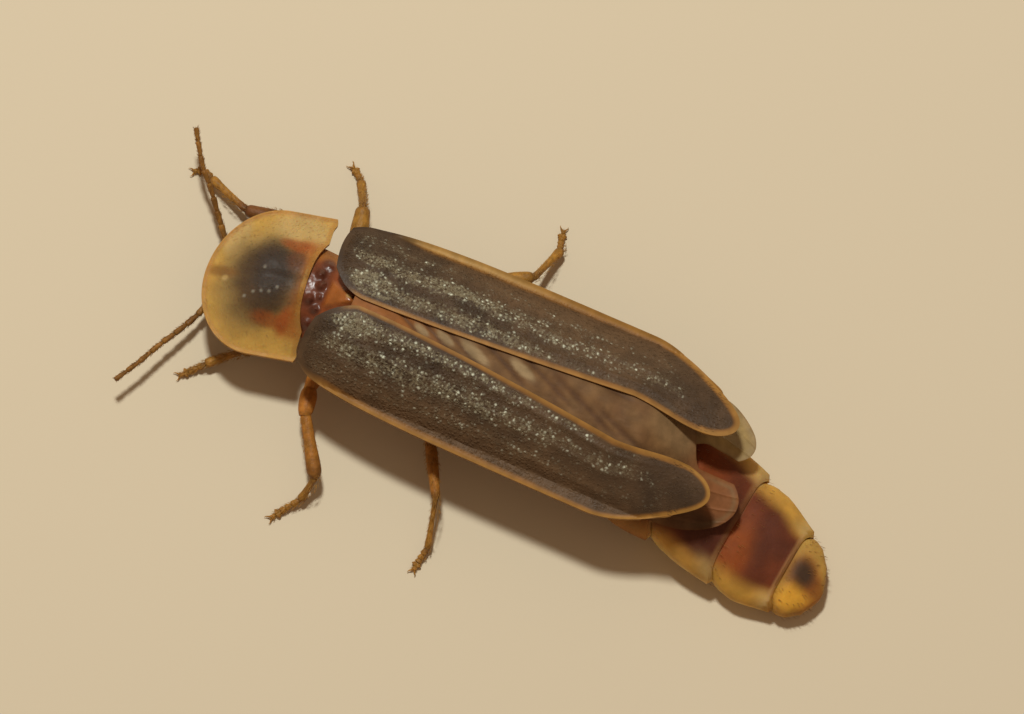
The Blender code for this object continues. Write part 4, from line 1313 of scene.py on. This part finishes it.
class Hairs:
    """Many short hairs gathered into one mesh, with each root's place on the skin's own map."""

    def __init__(self, seed):
        self.chance = random.Random(seed)
        self.full = []
        self.start_batch()

    def start_batch(self):
        self.bm = bmesh.new()
        self.tint = self.bm.verts.layers.float_color.new("tint")
        self.map = self.bm.loops.layers.uv.new("OFBake")
        self.count = 0

    def add(self, root, direction, length, thickness, colour, place_on_map):
        direction = direction.normalized()
        turn = direction.to_track_quat("Z", "Y").to_matrix().to_4x4()
        middle = Matrix.Translation(Vector(root) + direction * length * 0.48)
        made = bmesh.ops.create_cone(self.bm, cap_ends=True, segments=3, radius1=thickness,
                                     radius2=thickness * 0.25, depth=length, matrix=middle @ turn)
        u, v = place_on_map
        for vert in made["verts"]:
            vert[self.tint] = (*colour, 1.0)
            along = (vert.co - middle.translation).dot(direction) / length + 0.5
            for loop in vert.link_loops:
                loop[self.map].uv = (u + HAIR_PATCH * (loop.index % 3) / 2.0, v + HAIR_PATCH * along)
        self.count += 1
        if self.count == HAIR_BATCH:
            self.close_batch()

    def close_batch(self):
        mesh = bpy.data.meshes.new("hairs")
        self.bm.to_mesh(mesh)
        self.bm.free()
        self.full.append(mesh)
        self.start_batch()

    def finish(self, name, material):
        self.close_batch()
        for mesh in self.full:
            self.bm.from_mesh(mesh)
            bpy.data.meshes.remove(mesh)
        add_piece(name, self.bm, material, sharp=60.0)


def sheet_normal(plan, height, a, b):
    """The outward direction of a sheet at a place of its square."""
    step = 0.004

    def at(p, q):
        x, y = plan(p, q)
        return Vector((x, y, height(p, x, y)))

    centre = at(a, b)
    normal = (at(a + step, b) - centre).cross(at(a, b + step) - centre).normalized()
    return centre, normal if normal.z > 0.0 else -normal


def lying(direction, normal, lift):
    """A direction laid along the surface and lifted from it a little."""
    flat = direction - normal * direction.dot(normal)
    return flat.normalized() + normal * lift


def sheet_map(a, b):
    """Where a place of a sheet's square lies on the map, inside a margin."""
    return (a + 1.0) * 0.48 + 0.01, (b + 1.0) * 0.48 + 0.01


def hair_wing_case(side, label, count, material):
    hairs = Hairs(11 if side == LEFT else 12)
    chance = hairs.chance

    def plan(a, b):
        return wing_case_plan(side, a, b)

    for _ in range(count):
        a, b = chance.uniform(-0.86, 0.82), -0.97 + 1.9 * chance.random() ** 1.4
        root, normal = sheet_normal(plan, wing_case_height, a, b)
        glint_band = wing_case_glint_band(side, root.x, root.y)
        backward = Vector((0.25 * side * chance.uniform(-0.6, 1.0), 1.0, 0.0))
        direction = lying(backward, normal, chance.uniform(0.10, 0.24))
        # the hairs are paler in the glint bands: partly pale hairs and partly painted glint
        glint_paleness = min(glint_band * chance.uniform(0.2, 1.2), 1.0)
        colour = mix(mix(SHELL_BROWN, SHELL_TAN, 0.7), HAIR_PALE, glint_paleness)
        hairs.add(root, direction, chance.uniform(0.05, 0.09), 0.005, colour, sheet_map(a, b))
    hairs.finish("hair_wing_case_" + label, material)


def hair_shield(count, material):
    hairs = Hairs(21)
    chance = hairs.chance
    turn = Matrix.Rotation(HEAD_TURN, 3, "Z")
    for _ in range(count):
        a, b = chance.uniform(-0.99, 0.99), chance.uniform(-0.98, 0.99)
        root, normal = sheet_normal(shield_plan, shield_height, a, b)
        outward = Vector((root.x * 0.6, 0.5 + 0.4 * chance.random(), 0.0))
        direction = turn @ lying(outward, normal, chance.uniform(0.15, 0.5))
        dark = spot(root.x, root.y, (0.2, -1.15), (1.1, 0.85), 0.3)
        colour = mix(mix(AMBER, CREAM, chance.random()), BLOTCH, dark)
        hairs.add(turned_with_head(root), direction, chance.uniform(0.04, 0.07), 0.004, colour,
                  sheet_map(a, b))
    hairs.finish("hair_shield", material)


def hair_body(count, material):
    hairs = Hairs(31)
    chance = hairs.chance
    first, last, lowest = 6.2, 14.9, 0.06
    for _ in range(count):
        y = chance.uniform(first, last)
        angle = chance.uniform(0.0, math.tau)
        root = body_point(y, angle)
        off_axis = Vector((root.x - bend(y), 0.0, root.z - 0.7)).normalized()
        direction = Vector((math.sin(ring_turn(y)), 1.0, 0.0)) + off_axis * chance.uniform(0.1, 0.35)
        colour = mix(AMBER_DARK, AMBER, chance.random())
        if root.z < lowest:
            continue
        place = (angle / math.tau * 0.98, (y - first) / 8.9 * 0.98)
        hairs.add(root, direction, chance.uniform(0.06, 0.11), 0.006, colour, place)
    hairs.finish("hair_body", material)


def hair_route(hairs, route, row, rows, length, colours):
    """Hairs round one limb along a route of (x, y, z, radius)."""
    chance = hairs.chance
    lowest = 0.02
    path = [stop[:3] for stop in route]
    for _ in range(LIMB_HAIRS):
        share = chance.random()
        place = point_along(path, share)
        ahead = point_along(path, min(share + 0.02, 1.0)) - point_along(path, max(share - 0.02, 0.0))
        along = ahead.normalized()
        index = min(int(share * (len(route) - 1)), len(route) - 2)
        radius = route[index][3]
        side = along.cross(UP).normalized()
        angle = chance.uniform(0.0, math.tau)
        outward = side * math.cos(angle) + side.cross(along) * math.sin(angle)
        root = place + outward * radius * 0.85
        direction = along * chance.uniform(0.7, 1.0) + outward * chance.uniform(0.35, 0.8)
        tip = root + direction.normalized() * length
        if tip.z < lowest or root.z < lowest:
            continue
        spot_on_map = (share * 0.98, (row + angle / math.tau * 0.95) / rows)
        hairs.add(root, direction, length * chance.uniform(0.6, 1.0), 0.0065,
                  mix(*colours, chance.random()), spot_on_map)


def hair_limbs(material):
    hairs = Hairs(41)
    row, rows = 0, len(LEGS) + len(FEELERS)
    for _, _, thigh, knee, ankle, foot, tip in LEGS.values():
        middle = tuple((start + end) / 2.0 for start, end in zip(thigh, knee))
        route = [(*thigh, 0.10), (*middle, THIGH_RADIUS), (*knee, 0.11), (*ankle, SHIN_RADIUS),
                 (*foot, FOOT_RADIUS), (*tip, 0.045)]
        hair_route(hairs, smooth_route(route, 5), row, rows, 0.085, (LEG_AMBER, AMBER))
        row += 1
    for points in FEELERS.values():
        path = smooth_route(points, 5)
        count = len(path) - 1
        route = [(*place, feeler_radius(index / count)) for index, place in enumerate(path)]
        hair_route(hairs, route, row, rows, 0.075, (LEG_BROWN, AMBER_DARK))
        row += 1
    hairs.finish("hair_limbs", material)


# Stage

def add_camera():
    """Looks down at the insect from slightly to its left, its head to the upper left."""
    tailward = Vector((math.sin(BODY_TURN), math.cos(BODY_TURN), 0.0))
    rightward = Vector((-math.cos(BODY_TURN), math.sin(BODY_TURN), 0.0))
    across = rightward * math.cos(CAMERA_LEAN) + UP * math.sin(CAMERA_LEAN)
    back = UP * math.cos(CAMERA_LEAN) - rightward * math.sin(CAMERA_LEAN)
    picture_right = tailward * math.cos(BODY_SLANT) + across * math.sin(BODY_SLANT)
    picture_up = across * math.cos(BODY_SLANT) - tailward * math.sin(BODY_SLANT)
    data = bpy.data.cameras.new("camera")
    data.lens = LENS
    data.sensor_width = SENSOR
    data.clip_start = 0.001
    data.clip_end = 10.0
    camera = bpy.data.objects.new("camera", data)
    bpy.context.scene.collection.objects.link(camera)
    distance = PHOTO_WIDTH * MM_PER_PIXEL * LENS / SENSOR
    turn = Matrix((picture_right, picture_up, back)).transposed().to_4x4()
    place = to_frame(Vector(VIEW_CENTRE) + back * distance)
    camera.matrix_world = Matrix.Translation(place) @ turn
    bpy.context.scene.camera = camera


def add_lamp():
    data = bpy.data.lights.new("key", "AREA")
    data.size = LAMP_SIZE * MM
    data.energy = LAMP_WATTS
    data.color = LAMP_COLOUR
    lamp = bpy.data.objects.new("key", data)
    bpy.context.scene.collection.objects.link(lamp)
    aim = Vector(LAMP_DIRECTION).normalized()
    lamp.location = to_frame(Vector(LAMP_TARGET) + aim * LAMP_DISTANCE)
    lamp.rotation_mode = "QUATERNION"
    lamp.rotation_quaternion = aim.to_track_quat("Z", "Y")


def add_floor():
    bm = bmesh.new()
    bmesh.ops.create_grid(bm, x_segments=1, y_segments=1, size=FLOOR_HALF_SIZE)
    mesh = bpy.data.meshes.new("floor")
    bmesh.ops.transform(bm, matrix=Matrix.Scale(MM, 4), verts=bm.verts[:])
    bm.to_mesh(mesh)
    bm.free()
    floor = bpy.data.objects.new("floor", mesh)
    bpy.context.scene.collection.objects.link(floor)
    material = bpy.data.materials.new("floor_paper")
    material.use_nodes = True
    shader = material.node_tree.nodes["Principled BSDF"]
    shader.inputs["Base Color"].default_value = FLOOR_COLOUR
    shader.inputs["Roughness"].default_value = FLOOR_ROUGHNESS
    mesh.materials.append(material)


def add_surround():
    world = bpy.data.worlds.new("studio")
    world.use_nodes = True
    background = world.node_tree.nodes["Background"]
    background.inputs["Color"].default_value = SURROUND_COLOUR
    background.inputs["Strength"].default_value = SURROUND_STRENGTH
    bpy.context.scene.world = world
    bpy.context.scene.view_settings.view_transform = "Standard"


def main():
    add_surround()
    add_floor()
    add_camera()
    add_lamp()
    shield_skin = skin_finish("shield_skin", pit=0.07, pit_depth=0.008, fold=0.3, roughness=0.6,
                              depth=0.1, soften=0.3, shine=0.25)
    body_skin = skin_finish("body_skin", pit=0.05, pit_depth=0.005, fold=0.35, roughness=0.6,
                            depth=0.14, soften=0.25, shine=0.15)
    head_skin = skin_finish("head_skin", pit=0.05, pit_depth=0.015, fold=0.2, roughness=0.35,
                            depth=0.2, soften=0.05, coat=0.2)
    knob_skin = skin_finish("knob_skin", pit=0.08, pit_depth=0.01, fold=0.2, roughness=0.33,
                            depth=0.2, soften=0.05, shine=0.45)
    limb_skin = skin_finish("limb_skin", pit=0.035, pit_depth=0.012, fold=0.12, roughness=0.48,
                            depth=0.25, soften=0.15, patch=0.15, shine=0.2)
    make_shield(shield_skin)
    make_body(body_skin, head_skin, knob_skin)
    case, film, facets, hair = wing_case_finish(), membrane_finish(), eye_finish(), hair_finish()
    for side, label in ((LEFT, "left"), (RIGHT, "right")):
        make_wing_case(side, label, case)
        make_wing(side, label, film)
        make_eye(side, label, facets)
        hair_wing_case(side, label, WING_CASE_HAIRS, hair)
    for label, stops in LEGS.items():
        make_leg(label, stops, limb_skin)
    for label, points in FEELERS.items():
        make_feeler(label, points, limb_skin)
    hair_shield(SHIELD_HAIRS, hair)
    hair_body(BODY_HAIRS, hair)
    hair_limbs(hair)


main()
